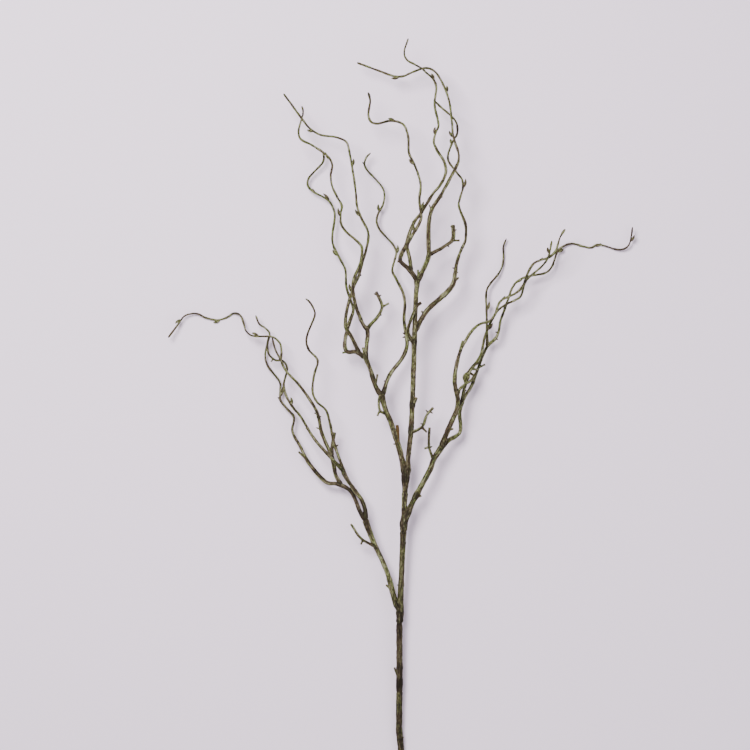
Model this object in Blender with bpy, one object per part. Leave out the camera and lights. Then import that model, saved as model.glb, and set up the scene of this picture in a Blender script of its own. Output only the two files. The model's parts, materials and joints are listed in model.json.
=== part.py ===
"""A spray of curly willow stems laid on a flat surface: a jointed main stem with three forks,
and the long wavy tendrils, side stubs and narrow buds that grow from them.

+X is to the right, +Y runs from the cut end to the tips and +Z is up from the surface. The origin
lies on the surface under the middle of the spray. Routes, widths and heights are in millimetres.
"""

import bmesh
import bpy
import math
import random
from mathutils import Vector

MM = 0.001
JOINT_GAP = 0.3
PEG_RADIUS = 1.5
PEG_LENGTH = 7.0
PEG_CLEARANCE = 0.35
OUTLET_LIP = 0.2
ROOT_OVERLAP = 4.0
# Sections along a strand: how far apart and how sharp a bend between two of them may be.
LARGEST_STEP = 21.0
SMALLEST_STEP = 3.2
LARGEST_TURN = math.radians(21)
SWELLING_STEP = 1.2
TIP_LENGTH = 4.0
TIP_SWELLING = 1.15
TIP_RADIUS = 0.45
UNEVEN_SHARE = 0.05
UNEVEN_SEED = 7
CURVE_STEPS = 14
# Side growths: the greatest radius, the greatest share of the strand's own radius, and stops
# from root to tip with the share of that radius at each.
GROWTHS = {
    "bud": (1.35, 0.95, ((0.0, 0.7), (0.2, 1.0), (0.45, 1.05), (0.75, 0.7))),
    "thorn": (1.1, 0.8, ((0.0, 1.25), (0.7, 1.0))),
    "stub": (1.35, 0.85, ((0.0, 1.0), (0.5, 0.92), (1.0, 1.0))),
}
# The block under the surface, in metres, which leaves a small flat wherever a strand rests.
SURFACE_BLOCK = (1.6, 1.6, 0.1)

STRANDS = {
    "butt": {
        "from": None,
        "widths": (9.1, 9.0, 8.9, 8.8),
        "route": (
            (3.5, -572, 4.4), (2.5, -492, 4.9), (1.5, -422, 7), (-1, -394, 8.5), (-0.5, -341.5, 12),
        ),
    },
    "lower": {
        "from": None,
        "widths": (8.8, 8.8),
        "route": (
            (-0.5, -341.5, 12), (-0.5, -244, 17),
        ),
    },
    "middle": {
        "from": None,
        "widths": (8.8, 7.9, 8.0, 8.3),
        "route": (
            (-0.5, -244, 17), (5, -115.5, 24),
        ),
    },
    "upper": {
        "from": None,
        "widths": (8.3, 7.7, 7.6, 7.8),
        "route": (
            (5, -115.5, 24), (8, -33, 28),
        ),
    },
    "left_limb": {
        "from": "middle",
        "widths": (6.9, 7.6, 6.6, 6.6, 7.3),
        "route": (
            (0.5, -234.5, 18), (-0.5, -227.5, 18.5), (-7, -212, 19), (-19, -170, 20.5), (-38, -128, 22),
            (-48.5, -100, 23),
        ),
    },
    "left_twig": {
        "from": "left_limb",
        "widths": (3.9, 3.5, 3.3),
        "route": (
            (-37, -138, 22), (-54, -125.5, 30), (-68.5, -105, 36),
        ),
    },
    "left_low": {
        "from": "left_limb",
        "widths": (5.5, 5.5, 5.7, 5.6, 4.1, 3.2, 3.0, 2.8, 2.5),
        "route": (
            (-48.5, -100, 23), (-55, -89.5, 22.5), (-69.5, -58.5, 21), (-87, -49.5, 20), (-100, -48, 19.5),
            (-105.5, -45, 19), (-128, -19.5, 17), (-140, 3.5, 15), (-149.5, 20.5, 13.5), (-151, 27, 13),
            (-149, 44.5, 12), (-159.5, 57.5, 11), (-167.5, 68, 10.5), (-168, 82, 10), (-168, 92.5, 9.5),
            (-186, 117.5, 9), (-189, 130.5, 9), (-184, 157, 12),
        ),
    },
    "left_high": {
        "from": "left_limb",
        "widths": (5.9, 5.7, 5.4, 4.1, 3.8, 3.4, 3.2, 3.0, 2.9, 2.6, 2.4),
        "route": (
            (-47.5, -98.5, 24), (-48.5, -86, 25), (-53, -72, 26.5), (-62.5, -59, 28), (-77.5, -35.5, 30),
            (-80, -27, 31), (-92, 8.5, 37), (-97.5, 35.5, 42), (-103, 54, 45.5), (-116.5, 67, 48),
            (-121.5, 79, 49), (-120, 102.5, 47.5), (-115, 124, 46), (-127, 138.5, 48.5), (-130.5, 149, 51),
            (-129, 160.5, 53), (-118.5, 187.5, 57.5), (-119.5, 194, 58.5), (-126.5, 206, 61),
            (-131.5, 210, 62),
        ),
    },
    "left_inner": {
        "from": "left_high",
        "widths": (5.4, 4.5, 4.4, 3.6, 3.4, 3.2, 3.1, 2.9, 2.6, 2.4),
        "route": (
            (-77.5, -35.5, 30), (-80, -30, 31.5), (-98, -10.5, 37), (-122, 17.5, 34), (-139, 45.5, 30),
            (-149.5, 58, 29), (-159.5, 75.5, 27.5), (-162.5, 89.5, 27), (-158, 114.5, 26), (-164.5, 123.5, 24),
            (-174.5, 124.5, 22), (-183.5, 132.5, 21), (-185.5, 141, 20.5), (-185, 149, 20),
            (-182.5, 161.5, 19), (-189, 169.5, 18), (-197, 175, 17), (-202.5, 187.5, 15),
        ),
    },
    "left_outer": {
        "from": "left_low",
        "widths": (5.5, 5.6, 5.2, 4.3, 3.5, 3.1, 2.8, 2.5, 2.5, 2.5, 2.5, 2.5),
        "route": (
            (-82.5, -52.5, 20), (-89.5, -37.5, 22), (-95, -12, 25), (-110, 24, 30.5), (-113.5, 43, 33),
            (-117, 54, 34.5), (-140, 88.5, 38), (-159, 109, 37), (-166, 123, 35.5), (-165.5, 134.5, 34),
            (-167.5, 147.5, 32), (-175.5, 155.5, 30.5), (-182, 157.5, 29), (-191.5, 157.5, 27),
            (-206, 158.5, 20.5), (-212, 161.5, 17), (-216, 166, 14), (-223, 186, 7), (-228, 190, 5),
            (-235, 190, 2.5), (-242.5, 185, 0.85), (-256, 181, 0.85), (-273.5, 184.5, 3), (-285.5, 190, 5),
            (-301.5, 187, 7.5), (-310.5, 176, 10), (-325, 156, 15),
        ),
    },
    "left_spur": {
        "from": "left_inner",
        "widths": (3.0, 2.6, 2.3),
        "route": (
            (-166.5, 124.5, 25), (-174, 138, 24), (-179, 156, 22),
        ),
    },
    "left_stub": {
        "from": "left_outer",
        "widths": (4.5, 4.5, 4.5),
        "route": (
            (-95, -12, 25), (-95, 2, 21), (-91.5, 23, 19),
        ),
    },
    "right_limb": {
        "from": "upper",
        "widths": (7.7, 7.9, 7.3, 7.7, 6.7),
        "route": (
            (6.5, -107, 25), (14, -83, 27), (42.5, -28, 29), (47, -16, 28.5), (59, 3.5, 27),
        ),
    },
    "right_twig": {
        "from": "right_limb",
        "widths": (3.6, 3.5, 3.7),
        "route": (
            (47, -16, 28.5), (41, 2.5, 27), (41.5, 30, 29),
        ),
    },
    "right_high": {
        "from": "right_limb",
        "widths": (7.1, 6.9, 6.4, 5.7, 4.7, 3.6, 3.1, 3.1, 3.0, 2.9, 2.5),
        "route": (
            (58, 2, 27), (66, 24, 32), (81, 62.5, 38), (76.5, 96, 43), (84, 136, 42), (98, 161.5, 38),
            (106.5, 171, 37), (112, 175, 36.5), (126, 179.5, 36), (131.5, 184.5, 36), (138, 202.5, 37),
            (142, 208, 37), (162.5, 218.5, 37.5), (170.5, 226, 38), (181.5, 252, 40.5), (189.5, 261, 42),
            (209, 268.5, 44.5), (217.5, 277, 46), (223.5, 296, 49.5), (230.5, 307, 52),
        ),
    },
    "right_low": {
        "from": "right_limb",
        "widths": (6.0, 5.7, 5.3, 4.4, 4.3, 3.6, 3.3, 3.0, 3.0, 2.8, 2.6, 2.4, 2.4, 2.3),
        "route": (
            (58, 2, 26.5), (68, 12, 23), (84, 23, 19), (84, 52.5, 18), (89.5, 70, 19), (100, 87.5, 20),
            (116, 129.5, 18), (123.5, 144.5, 17), (134.5, 155.5, 19), (138.5, 165, 20.5), (142, 182, 22),
            (151, 207, 24), (157, 224, 22), (164, 234, 20), (173.5, 240, 18.5), (187.5, 243.5, 16),
            (205.5, 247.5, 12.5), (214, 256.5, 10), (216.5, 263, 9), (222.5, 278.5, 6.5), (231.5, 285.5, 4.5),
            (242, 288.5, 3), (258.5, 284.5, 0.8), (270, 283, 0.8), (278, 287, 1.28), (289.5, 285, 2.5),
            (301.5, 281, 4), (313.5, 280.5, 6), (322, 286.5, 7.5), (327, 311.5, 12),
        ),
    },
    "right_knot": {
        "from": "right_low",
        "widths": (4.2, 4.6, 4.4, 3.9, 3.5, 3.2, 3.0, 2.9, 2.7, 2.4),
        "route": (
            (84.5, 61.5, 18.5), (90, 84, 26), (92.5, 92, 28.5), (93, 100, 29.5), (98, 109.5, 30),
            (112, 129, 28), (120.5, 161.5, 27), (136, 192.5, 30), (149.5, 203, 30), (161.5, 208.5, 29.5),
            (169, 213.5, 29.5), (176.5, 235, 29), (200.5, 257.5, 32), (207, 267, 32.5), (210, 278, 33),
            (212.5, 291.5, 35),
        ),
    },
    "right_bridge": {
        "from": "right_high",
        "widths": (3.9, 3.6, 3.3),
        "route": (
            (79, 73.5, 39.5), (84, 84, 38), (92.5, 91.5, 35), (99.5, 96, 31), (104, 102.5, 27),
            (108, 109.5, 21),
        ),
    },
    "right_rung": {
        "from": "right_knot",
        "widths": (3.4, 3.0, 3.4),
        "route": (
            (101, 113, 29.5), (105.5, 111.5, 25.5), (109.5, 111.5, 19),
        ),
    },
    "right_tie": {
        "from": "right_knot",
        "widths": (3.0, 2.6, 3.0),
        "route": (
            (97.5, 106.5, 30), (101.5, 104.5, 29), (104, 102.5, 27),
        ),
    },
    "right_spur": {
        "from": "right_knot",
        "widths": (3.4, 3.6, 2.9),
        "route": (
            (103, 116.5, 29.5), (109, 121, 26.5), (115, 131, 24),
        ),
    },
    "right_inner": {
        "from": "right_low",
        "widths": (4.4, 3.6, 3.1, 2.9, 2.6, 2.2),
        "route": (
            (123.5, 143, 17), (122, 189.5, 13.5), (122, 222, 11), (127, 231.5, 9.5), (139, 246.5, 7),
            (144, 256.5, 5), (146, 269.5, 4), (145.5, 283.5, 5), (150, 295.5, 6),
        ),
    },
    "crown_limb": {
        "from": "upper",
        "widths": (7.4, 7.7, 7.4, 7.1, 6.9),
        "route": (
            (8, -40, 28), (3.3, -16, 30), (-4.4, 12, 31.5), (-13.6, 40, 33), (-18.5, 51, 34),
            (-26.5, 76.5, 36),
        ),
    },
    "crown_twig": {
        "from": "crown_limb",
        "widths": (3.7, 3.5, 3.7),
        "route": (
            (-20, 48.5, 34), (-27.5, 53.5, 38), (-29.5, 68, 41.5), (-28, 75, 43),
        ),
    },
    "crown_mid": {
        "from": "crown_limb",
        "widths": (6.1, 6.0, 5.7, 5.2, 5.1, 4.9, 4.5, 3.9, 3.4, 3.1, 3.0, 3.0, 3.0, 3.0, 2.6, 2.5),
        "route": (
            (-25, 73.5, 36), (-34.5, 89, 38), (-41, 110, 40), (-47.5, 128, 41.5), (-46.5, 145, 43),
            (-45.5, 166, 45), (-50.5, 172.5, 46), (-59, 192, 50), (-63.5, 208, 52.5), (-65.5, 231.5, 56),
            (-55, 261, 59), (-53, 281.5, 56), (-58, 288.5, 54.5), (-75.5, 304, 50), (-82, 314.5, 48),
            (-82.5, 330.5, 46), (-81, 339.5, 44.5), (-90.5, 357.5, 42), (-95, 368.5, 41.5), (-96.5, 382.5, 41),
            (-94.5, 396.5, 42.5), (-99, 407, 44), (-122, 424, 48), (-138.5, 433, 50.5), (-141.5, 443, 52),
            (-135, 470.5, 57), (-137, 478, 59),
        ),
    },
    "crown_hook": {
        "from": "crown_mid",
        "widths": (4.2, 4.2, 4.5, 4.2),
        "route": (
            (-45.5, 164, 45), (-44, 170, 44), (-30, 186.5, 40), (-25, 199.5, 38.5), (-33, 220, 36),
        ),
    },
    "crown_box": {
        "from": "crown_mid",
        "widths": (5.2, 5.7, 5.4, 4.1, 3.7, 3.4, 3.2, 3.1, 2.9, 2.9, 2.9, 2.4),
        "route": (
            (-47, 127, 41), (-60.5, 135.5, 37), (-74, 136.5, 34), (-77, 145, 32.5), (-73.5, 167.5, 30),
            (-65.5, 193, 27), (-66, 199, 26.5), (-75, 227.5, 24), (-76.5, 251.5, 22), (-85, 268.5, 20),
            (-93.5, 285.5, 18), (-95, 296.5, 17), (-91.5, 329.5, 14), (-98, 346, 12.5), (-106.5, 353, 12),
            (-122, 361.5, 10.5), (-129, 369.5, 10), (-128.5, 379, 10), (-113, 396, 12), (-108, 402, 13),
            (-106.5, 408.5, 14), (-108, 416, 15),
        ),
    },
    "crown_cross": {
        "from": "crown_box",
        "widths": (5.4, 5.2, 4.6, 4.3, 4.0, 3.5, 3.2, 3.1, 2.9, 2.9, 2.9, 2.9, 2.6),
        "route": (
            (-56.5, 133.5, 38), (-68, 157.5, 39), (-75.5, 170, 40), (-75, 189.5, 40), (-65, 225.5, 42),
            (-57, 243.5, 41.5), (-54, 255.5, 41), (-44.5, 291.5, 43), (-45, 305, 44), (-54.5, 324, 46),
            (-60, 340.5, 48), (-61.5, 357.5, 50), (-66, 390, 52), (-71, 417, 50), (-74, 427.5, 48.5),
            (-78.5, 431.5, 47.5), (-90.5, 436, 45), (-112, 439.5, 40), (-127, 449.5, 37.5), (-135.5, 460, 37),
            (-154, 485, 41), (-162.5, 496.5, 45),
        ),
    },
    "crown_right": {
        "from": "crown_limb",
        "widths": (5.6, 5.6, 5.5, 5.0, 4.1, 3.5, 3.2, 2.8, 2.7, 2.7, 2.6, 2.2),
        "route": (
            (-24.5, 72, 35.5), (-14.5, 103, 31), (5.5, 131, 26), (10, 145, 24), (10, 152, 23), (6, 180, 21),
            (7, 207, 20), (4, 220, 19.5), (-5.5, 239, 19), (-10.5, 250, 18), (-5, 276, 17), (-9.5, 286.5, 16),
            (-19, 297, 15), (-29, 309, 14), (-32.5, 320, 13), (-30, 331, 12), (-24, 341.5, 11.5),
            (-21.5, 353.5, 11), (-24, 366, 11.5), (-32.5, 377, 12), (-46.5, 392, 14.5), (-49.5, 400, 16),
            (-46, 410, 18.5), (-41, 415, 20),
        ),
    },
    "leader": {
        "from": "upper",
        "widths": (6.4, 6.7, 6.8, 7.0, 7.1, 7.5, 7.4, 6.9, 6.4, 6.6, 6.1),
        "route": (
            (9.5, -41, 28.5), (11, -34, 29), (11.5, -16, 31), (15.5, 26, 34), (18, 82, 40), (20, 138, 44),
            (21.5, 194, 48), (24, 236, 52),
        ),
    },
    "leader_twig": {
        "from": "leader",
        "widths": (4.3, 3.9, 3.7),
        "route": (
            (16, 22, 34), (31, 31, 38), (38, 48.5, 41.5), (46.5, 58, 44),
        ),
    },
    "leader_hook": {
        "from": "leader",
        "widths": (4.6, 4.2, 4.6),
        "route": (
            (20, 147, 45.5), (14, 156, 49), (11, 165, 52), (18, 187.5, 57), (24.5, 200.5, 57.5),
            (29.5, 204.5, 58),
        ),
    },
    "leader_right": {
        "from": "leader",
        "widths": (6.4, 6.7, 7.2, 6.8, 4.6, 3.8, 3.6, 3.2, 3.1, 3.0, 2.9, 2.9, 2.6, 2.6),
        "route": (
            (21, 164.5, 46), (34, 188.5, 44), (42, 198, 43), (69, 223, 40), (75, 232.5, 39), (77.5, 248, 38),
            (79.5, 261, 38.5), (86, 279, 41), (91, 290, 43), (92, 297.5, 44), (91.5, 313.5, 46),
            (84.5, 332.5, 48), (82, 342.5, 49.5), (88, 365, 52), (86.5, 376, 52.5), (77.5, 388, 53),
            (67, 405, 51.5), (74.5, 431, 47), (79.5, 439.5, 45.5), (80, 451.5, 44), (78.5, 457, 42.5),
            (72, 465.5, 40), (57, 478.5, 36), (47, 488.5, 33),
        ),
    },
    "fork_left": {
        "from": "leader",
        "widths": (5.5, 5.7, 5.4, 4.9, 4.1, 4.2, 4.4, 3.5, 3.3, 3.1, 3.0, 2.6, 2.5, 2.2),
        "route": (
            (23.5, 234, 52), (20.5, 240.5, 52.5), (11.5, 252, 53), (0.5, 263.5, 50), (3, 273.5, 48),
            (8.5, 284.5, 46), (14, 303, 43), (19.5, 316.5, 41.5), (30, 330.5, 40), (46.5, 357.5, 38),
            (56, 368.5, 37), (64, 386.5, 36), (62.5, 400.5, 36), (52, 418, 36), (47.5, 429, 37),
            (49.5, 440.5, 38), (54, 451.5, 39), (53.5, 458, 40), (48.5, 480.5, 44), (50.5, 506.5, 48),
            (46, 517, 50), (36.5, 525.5, 52), (32, 530, 53), (18.5, 537.5, 56), (9.5, 543, 58), (6, 552.5, 60),
            (11.5, 572, 66),
        ),
    },
    "fork_mid": {
        "from": "fork_left",
        "widths": (5.3, 5.1, 5.0, 4.2, 3.7, 3.5, 3.3, 3.3, 3.2, 3.1, 3.0, 2.6),
        "route": (
            (15, 247, 53), (13.5, 266, 57), (10, 283.5, 59), (14, 293, 59.5), (26, 313, 61),
            (29.5, 323.5, 61.5), (29, 329.5, 62), (27, 348, 64), (29, 366.5, 65), (26.5, 379, 64.5),
            (20, 396.5, 63), (12.5, 412.5, 60.5), (11.5, 435, 58), (5.5, 451.5, 56), (-4, 457, 54),
            (-15, 458, 51), (-32, 454.5, 47), (-40, 457, 45.5), (-44, 466.5, 45), (-41.5, 487, 47),
            (-44.5, 498, 50),
        ),
    },
    "fork_right": {
        "from": "leader",
        "widths": (6.0, 6.3, 6.2, 5.8, 5.0, 4.2, 3.5, 3.0, 3.0, 3.0, 3.0, 3.0, 3.0, 2.6, 2.5),
        "route": (
            (23.5, 232.5, 52), (40, 269.5, 56), (40, 281, 57), (40, 310.5, 60.5), (43, 331, 63),
            (56, 352.5, 66), (69, 376, 68), (76.5, 390, 67), (81, 400.5, 66), (81.5, 412.5, 64),
            (74.5, 435, 60), (72, 460, 57), (67, 492, 52), (54, 520.5, 46), (46, 529.5, 43.5),
            (35.5, 532.5, 41), (12, 524.5, 36), (6.5, 522, 35), (-4.5, 521, 33), (-28, 529, 30),
            (-60, 541, 29),
        ),
    },
    "fork_twig": {
        "from": "fork_right",
        "widths": (5.0, 4.7, 5.6, 5.6),
        "route": (
            (40, 271.5, 56.5), (60.5, 282, 60), (73, 292, 62), (74, 312.5, 64),
        ),
    },
}

SIDE_GROWTHS = {
    "butt": [
        ("thorn", (0, -371.5), (-5.5, -367.5), 0), ("thorn", (0.5, -408), (6, -405.5), 1),
    ],
    "lower": [
        ("stub", (-0.5, -322.5), (-7.5, -307), 1),
    ],
    "middle": [
        ("thorn", (4, -136.5), (9, -131), 1), ("thorn", (1, -194), (-4, -190.5), 1),
    ],
    "left_limb": [
        ("stub", (-13, -198.5), (-19, -190.5), 2),
    ],
    "left_twig": [
        ("stub", (-52, -127.5), (-54.5, -133.5), -2),
    ],
    "left_low": [
        ("stub", (-133, -13), (-142, -4), -2), ("bud", (-168.5, 73), (-165, 87), 1),
        ("thorn", (-168, 67.5), (-171.5, 72.5), 1),
    ],
    "left_high": [
        ("thorn", (-90.5, 3.5), (-86, 6), 1),
    ],
    "left_inner": [
        ("thorn", (-127.5, 26.5), (-132, 29.5), 1), ("bud", (-152, 62), (-153, 72.5), 1),
        ("thorn", (-178, 125), (-181, 122), 0),
    ],
    "left_outer": [
        ("thorn", (-115.5, 48.5), (-120, 50.5), 1), ("thorn", (-114, 43.5), (-110, 46), 1),
        ("thorn", (-111.5, 27.5), (-117.5, 30), 1), ("bud", (-198.5, 157.5), (-208, 162.5), 1),
        ("bud", (-252.5, 181.5), (-262.5, 177.5), 1), ("bud", (-307, 181), (-315.5, 175.5), 1),
    ],
    "right_limb": [
        ("stub", (23, -68), (30, -65.5), 2),
    ],
    "right_twig": [
        ("stub", (41, 2.5), (34.5, 0.5), 1), ("thorn", (42, 1.5), (45.5, 4), 1),
    ],
    "right_high": [
        ("stub", (67, 26), (74.5, 28.5), 2), ("stub", (84.5, 136), (88, 151.5), 2),
        ("thorn", (144, 209.5), (147, 214), 1), ("thorn", (196, 263.5), (199.5, 267.5), 1),
    ],
    "right_low": [
        ("stub", (111, 114), (119.5, 118.5), 1), ("thorn", (133.5, 155), (138, 153), 1),
        ("thorn", (137.5, 162.5), (134, 164), 1), ("bud", (164.5, 234.5), (173, 241.5), 1),
        ("bud", (221.5, 277), (230.5, 281), 1), ("bud", (274, 285.5), (283.5, 289), 1),
        ("bud", (325, 291.5), (329.5, 300.5), 1),
    ],
    "right_knot": [
        ("thorn", (89, 80.5), (93.5, 82.5), 1), ("bud", (123, 167), (130, 176.5), 2),
        ("bud", (209.5, 274), (207, 282.5), 1),
    ],
    "right_inner": [
        ("bud", (122, 195), (125.5, 207), 1),
    ],
    "crown_limb": [
        ("stub", (-3, 10.5), (-4, 33.5), 3), ("thorn", (-3, 6), (-9.5, 7), 1),
    ],
    "crown_twig": [
        ("stub", (-27.5, 53.5), (-31.5, 46.5), 1),
    ],
    "crown_mid": [
        ("stub", (-35, 90.5), (-31.5, 104.5), 3), ("stub", (-47.5, 129.5), (-51.5, 142), 3),
        ("bud", (-83.5, 325.5), (-86, 337), 1), ("bud", (-97.5, 404.5), (-104, 415), 1),
    ],
    "crown_hook": [
        ("thorn", (-31, 215), (-36.5, 217.5), 1), ("thorn", (-30, 213), (-26, 215.5), 1),
        ("stub", (-25.5, 199), (-15.5, 204), 1), ("thorn", (-29, 187.5), (-25, 187.5), 1),
    ],
    "crown_box": [
        ("stub", (-74, 136.5), (-80.5, 134.5), 0), ("bud", (-86.5, 270.5), (-94.5, 279.5), 1),
        ("bud", (-99, 348.5), (-108, 358.5), 1), ("thorn", (-120, 360.5), (-122.5, 365.5), 1),
    ],
    "crown_cross": [
        ("bud", (-67, 219), (-70.5, 231.5), 1), ("bud", (-74, 168.5), (-70.5, 185), 3),
        ("bud", (-55.5, 325.5), (-62.5, 335), 1), ("bud", (-67.5, 395), (-65, 405.5), 1),
        ("bud", (-121, 444.5), (-130, 446.5), 1), ("thorn", (-57.5, 241.5), (-53.5, 243.5), 1),
    ],
    "crown_right": [
        ("thorn", (-18, 94), (-22.5, 95.5), 1), ("thorn", (10, 150.5), (14.5, 153), 1),
        ("thorn", (8, 157), (3.5, 156), 2), ("thorn", (8, 159), (4, 163), 2),
        ("bud", (-5.5, 274), (-3, 286), 1), ("bud", (-28.5, 333), (-30, 343.5), 1),
        ("thorn", (-49.5, 399), (-52.5, 402.5), 1),
    ],
    "leader": [
        ("stub", (18, 61), (22.5, 72), 4), ("stub", (24, 234.5), (25, 250), 5),
    ],
    "leader_twig": [
        ("thorn", (40, 51), (36, 55), 1), ("thorn", (41.5, 52.5), (46, 50), 1),
        ("thorn", (32, 34.5), (28.5, 36), 1), ("stub", (31, 31), (37.5, 23.5), 2),
    ],
    "leader_right": [
        ("stub", (35, 189.5), (30, 192.5), 2), ("thorn", (78, 253), (73, 253.5), 1),
        ("thorn", (77.5, 245), (81.5, 247.5), 1), ("stub", (75.5, 234), (82, 240), 1),
        ("bud", (88, 365), (91.5, 377.5), 1), ("bud", (73, 426), (71, 433.5), 1),
    ],
    "fork_left": [
        ("stub", (1, 262), (-3.5, 262), 0), ("bud", (32, 334), (33.5, 346), 1),
        ("bud", (49.5, 439.5), (49.5, 450.5), 1), ("bud", (47, 516), (43.5, 524), 1),
    ],
    "fork_mid": [
        ("stub", (20.5, 304), (18, 318), 3), ("bud", (20, 396.5), (12.5, 404.5), 1),
        ("bud", (-7.5, 458), (-17, 461), 1),
    ],
    "fork_right": [
        ("thorn", (43.5, 333.5), (40.5, 341), 1), ("thorn", (54.5, 349.5), (59.5, 351.5), 1),
        ("bud", (74, 434.5), (68.5, 444), 1), ("bud", (65, 498), (65, 507.5), 1),
        ("bud", (-0.5, 521), (-12.5, 519), 1),
    ],
    "fork_twig": [
        ("thorn", (74, 304), (79, 306), 1), ("thorn", (74, 308), (70, 311), 1),
        ("stub", (72.5, 291.5), (83, 291), 1), ("thorn", (66, 285.5), (68.5, 281.5), 1),
    ],
}

# Swollen places: strand, Y along the spray, extra radius and half length.
SWELLINGS = (
    ("butt", -343.5, 0.5, 2.5), ("butt", -398, 0.3, 6),
    ("lower", -330, 0.45, 9), ("lower", -246, -0.35, 2.5),
    ("middle", -240, 0.55, 4), ("middle", -224, 0.8, 12), ("middle", -117, 0.5, 9),
    ("upper", -104, 1.6, 9), ("upper", -64, 0.5, 2), ("upper", -38, 1.4, 8),
    ("left_limb", -116, 0.8, 16), ("left_high", -32, 0.5, 6),
    ("right_limb", 0, 0.5, 9), ("leader", 28, 0.5, 9), ("leader", 151, 0.5, 5),
    ("leader", 236, 0.5, 7), ("crown_limb", 76, 0.5, 8), ("crown_mid", 168, 0.5, 6),
    ("right_knot", 100.5, 2.5, 5), ("right_limb", -64, 0.7, 4),
)

# The lengths of the main stem, from the cut end up, and the strands of each spray.
STEM_LENGTHS = (
    ("butt_length", "butt"), ("lower_length", "lower"),
    ("middle_length", "middle"), ("upper_length", "upper"),
)
SPRAYS = {
    "left_spray": (
        "left_limb", "left_twig", "left_low", "left_high", "left_inner", "left_outer",
        "left_spur", "left_stub",
    ),
    "right_spray": (
        "right_limb", "right_twig", "right_high", "right_low", "right_knot", "right_bridge",
        "right_rung", "right_tie", "right_spur", "right_inner",
    ),
    "crown_spray": (
        "crown_limb", "crown_twig", "crown_mid", "crown_hook", "crown_box", "crown_cross",
        "crown_right",
    ),
    "leader_spray": (
        "leader", "leader_twig", "leader_hook", "leader_right", "fork_left", "fork_mid",
        "fork_right", "fork_twig",
    ),
}
# How far up each spray's first strand its joint with the stem's outlet lies.
OUTLETS = {"left_limb": 34.0, "right_limb": 30.0, "crown_limb": 26.0, "leader": 27.0}
CUT_ENDED = {
    "left_twig", "left_stub", "right_twig", "crown_twig", "crown_hook", "leader", "leader_twig",
    "leader_hook", "fork_twig", "right_rung", "right_tie", "right_spur", "butt", "lower", "middle", "upper",
}
# Sides of a strand's section by its widest radius: main lengths, limbs, tendrils.
SECTION_RESOLUTION = ((3.0, 3), (2.0, 2), (0.0, 1))

FINISHES = {
    "butt_length": (0.075, 0.060, 0.035), "lower_length": (0.070, 0.055, 0.034),
    "middle_length": (0.115, 0.095, 0.058), "upper_length": (0.150, 0.125, 0.078),
    "left_spray": (0.150, 0.125, 0.075), "right_spray": (0.160, 0.140, 0.070),
    "crown_spray": (0.165, 0.140, 0.085), "leader_spray": (0.170, 0.145, 0.090),
}
ROUGHNESS = 0.62


class Line:
    """A smooth centreline as close points, with the distance along it and its radius."""

    def __init__(self, points, widths):
        self.points = points
        self.widths = widths
        self.along = [0.0]
        for a, b in zip(points, points[1:]):
            self.along.append(self.along[-1] + (b - a).length)
        self.length = self.along[-1]

    def point_at(self, distance):
        for i in range(1, len(self.along)):
            if self.along[i] >= distance:
                span = max(self.along[i] - self.along[i - 1], 1e-9)
                return self.points[i - 1].lerp(self.points[i], (distance - self.along[i - 1]) / span)
        return self.points[-1].copy()

    def direction_at(self, distance):
        low = self.point_at(max(distance - 1.0, 0.0))
        return (self.point_at(min(distance + 1.0, self.length)) - low).normalized()

    def radius_at(self, distance):
        place = min(max(distance / self.length, 0.0), 1.0) * (len(self.widths) - 1)
        low = min(int(place), len(self.widths) - 2)
        return 0.5 * (self.widths[low] + (self.widths[low + 1] - self.widths[low]) * (place - low))

    def distance_at_y(self, y):
        return self.along[min(range(len(self.points)), key=lambda i: abs(self.points[i].y - y))]

    def nearest(self, place):
        """The index of the point that lies nearest to place, seen from above."""
        flat = Vector(place[:2])
        return min(range(len(self.points)), key=lambda i: (self.points[i].xy - flat).length)


def smooth_points(route):
    """Points of a centripetal Catmull-Rom curve through the route."""
    ends = [2 * route[0] - route[1], *route, 2 * route[-1] - route[-2]]
    points = []
    for a, b, c, d in zip(ends, ends[1:], ends[2:], ends[3:]):
        knots = [0.0]
        for low, high in ((a, b), (b, c), (c, d)):
            knots.append(knots[-1] + max((high - low).length, 1e-6) ** 0.5)
        k0, k1, k2, k3 = knots
        for step in range(CURVE_STEPS):
            t = k1 + (k2 - k1) * step / CURVE_STEPS
            ab = a.lerp(b, (t - k0) / (k1 - k0))
            bc = b.lerp(c, (t - k1) / (k2 - k1))
            cd = c.lerp(d, (t - k2) / (k3 - k2))
            abc = ab.lerp(bc, (t - k0) / (k2 - k0))
            bcd = bc.lerp(cd, (t - k1) / (k3 - k1))
            points.append(abc.lerp(bcd, (t - k1) / (k2 - k1)))
    points.append(route[-1].copy())
    return points


def lay_strands():
    """Every strand's centreline, its foot moved onto the centreline that it grows from."""
    lines = {}
    for name, strand in STRANDS.items():
        route = [Vector(point) for point in strand["route"]]
        if strand["from"]:
            parent = lines[strand["from"]]
            route[0] = parent.points[parent.nearest(route[0])].copy()
        lines[name] = Line(smooth_points(route), strand["widths"])
    return lines


def swellings_of(name):
    return [(y, gain, half) for strand, y, gain, half in SWELLINGS if strand == name]


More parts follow.
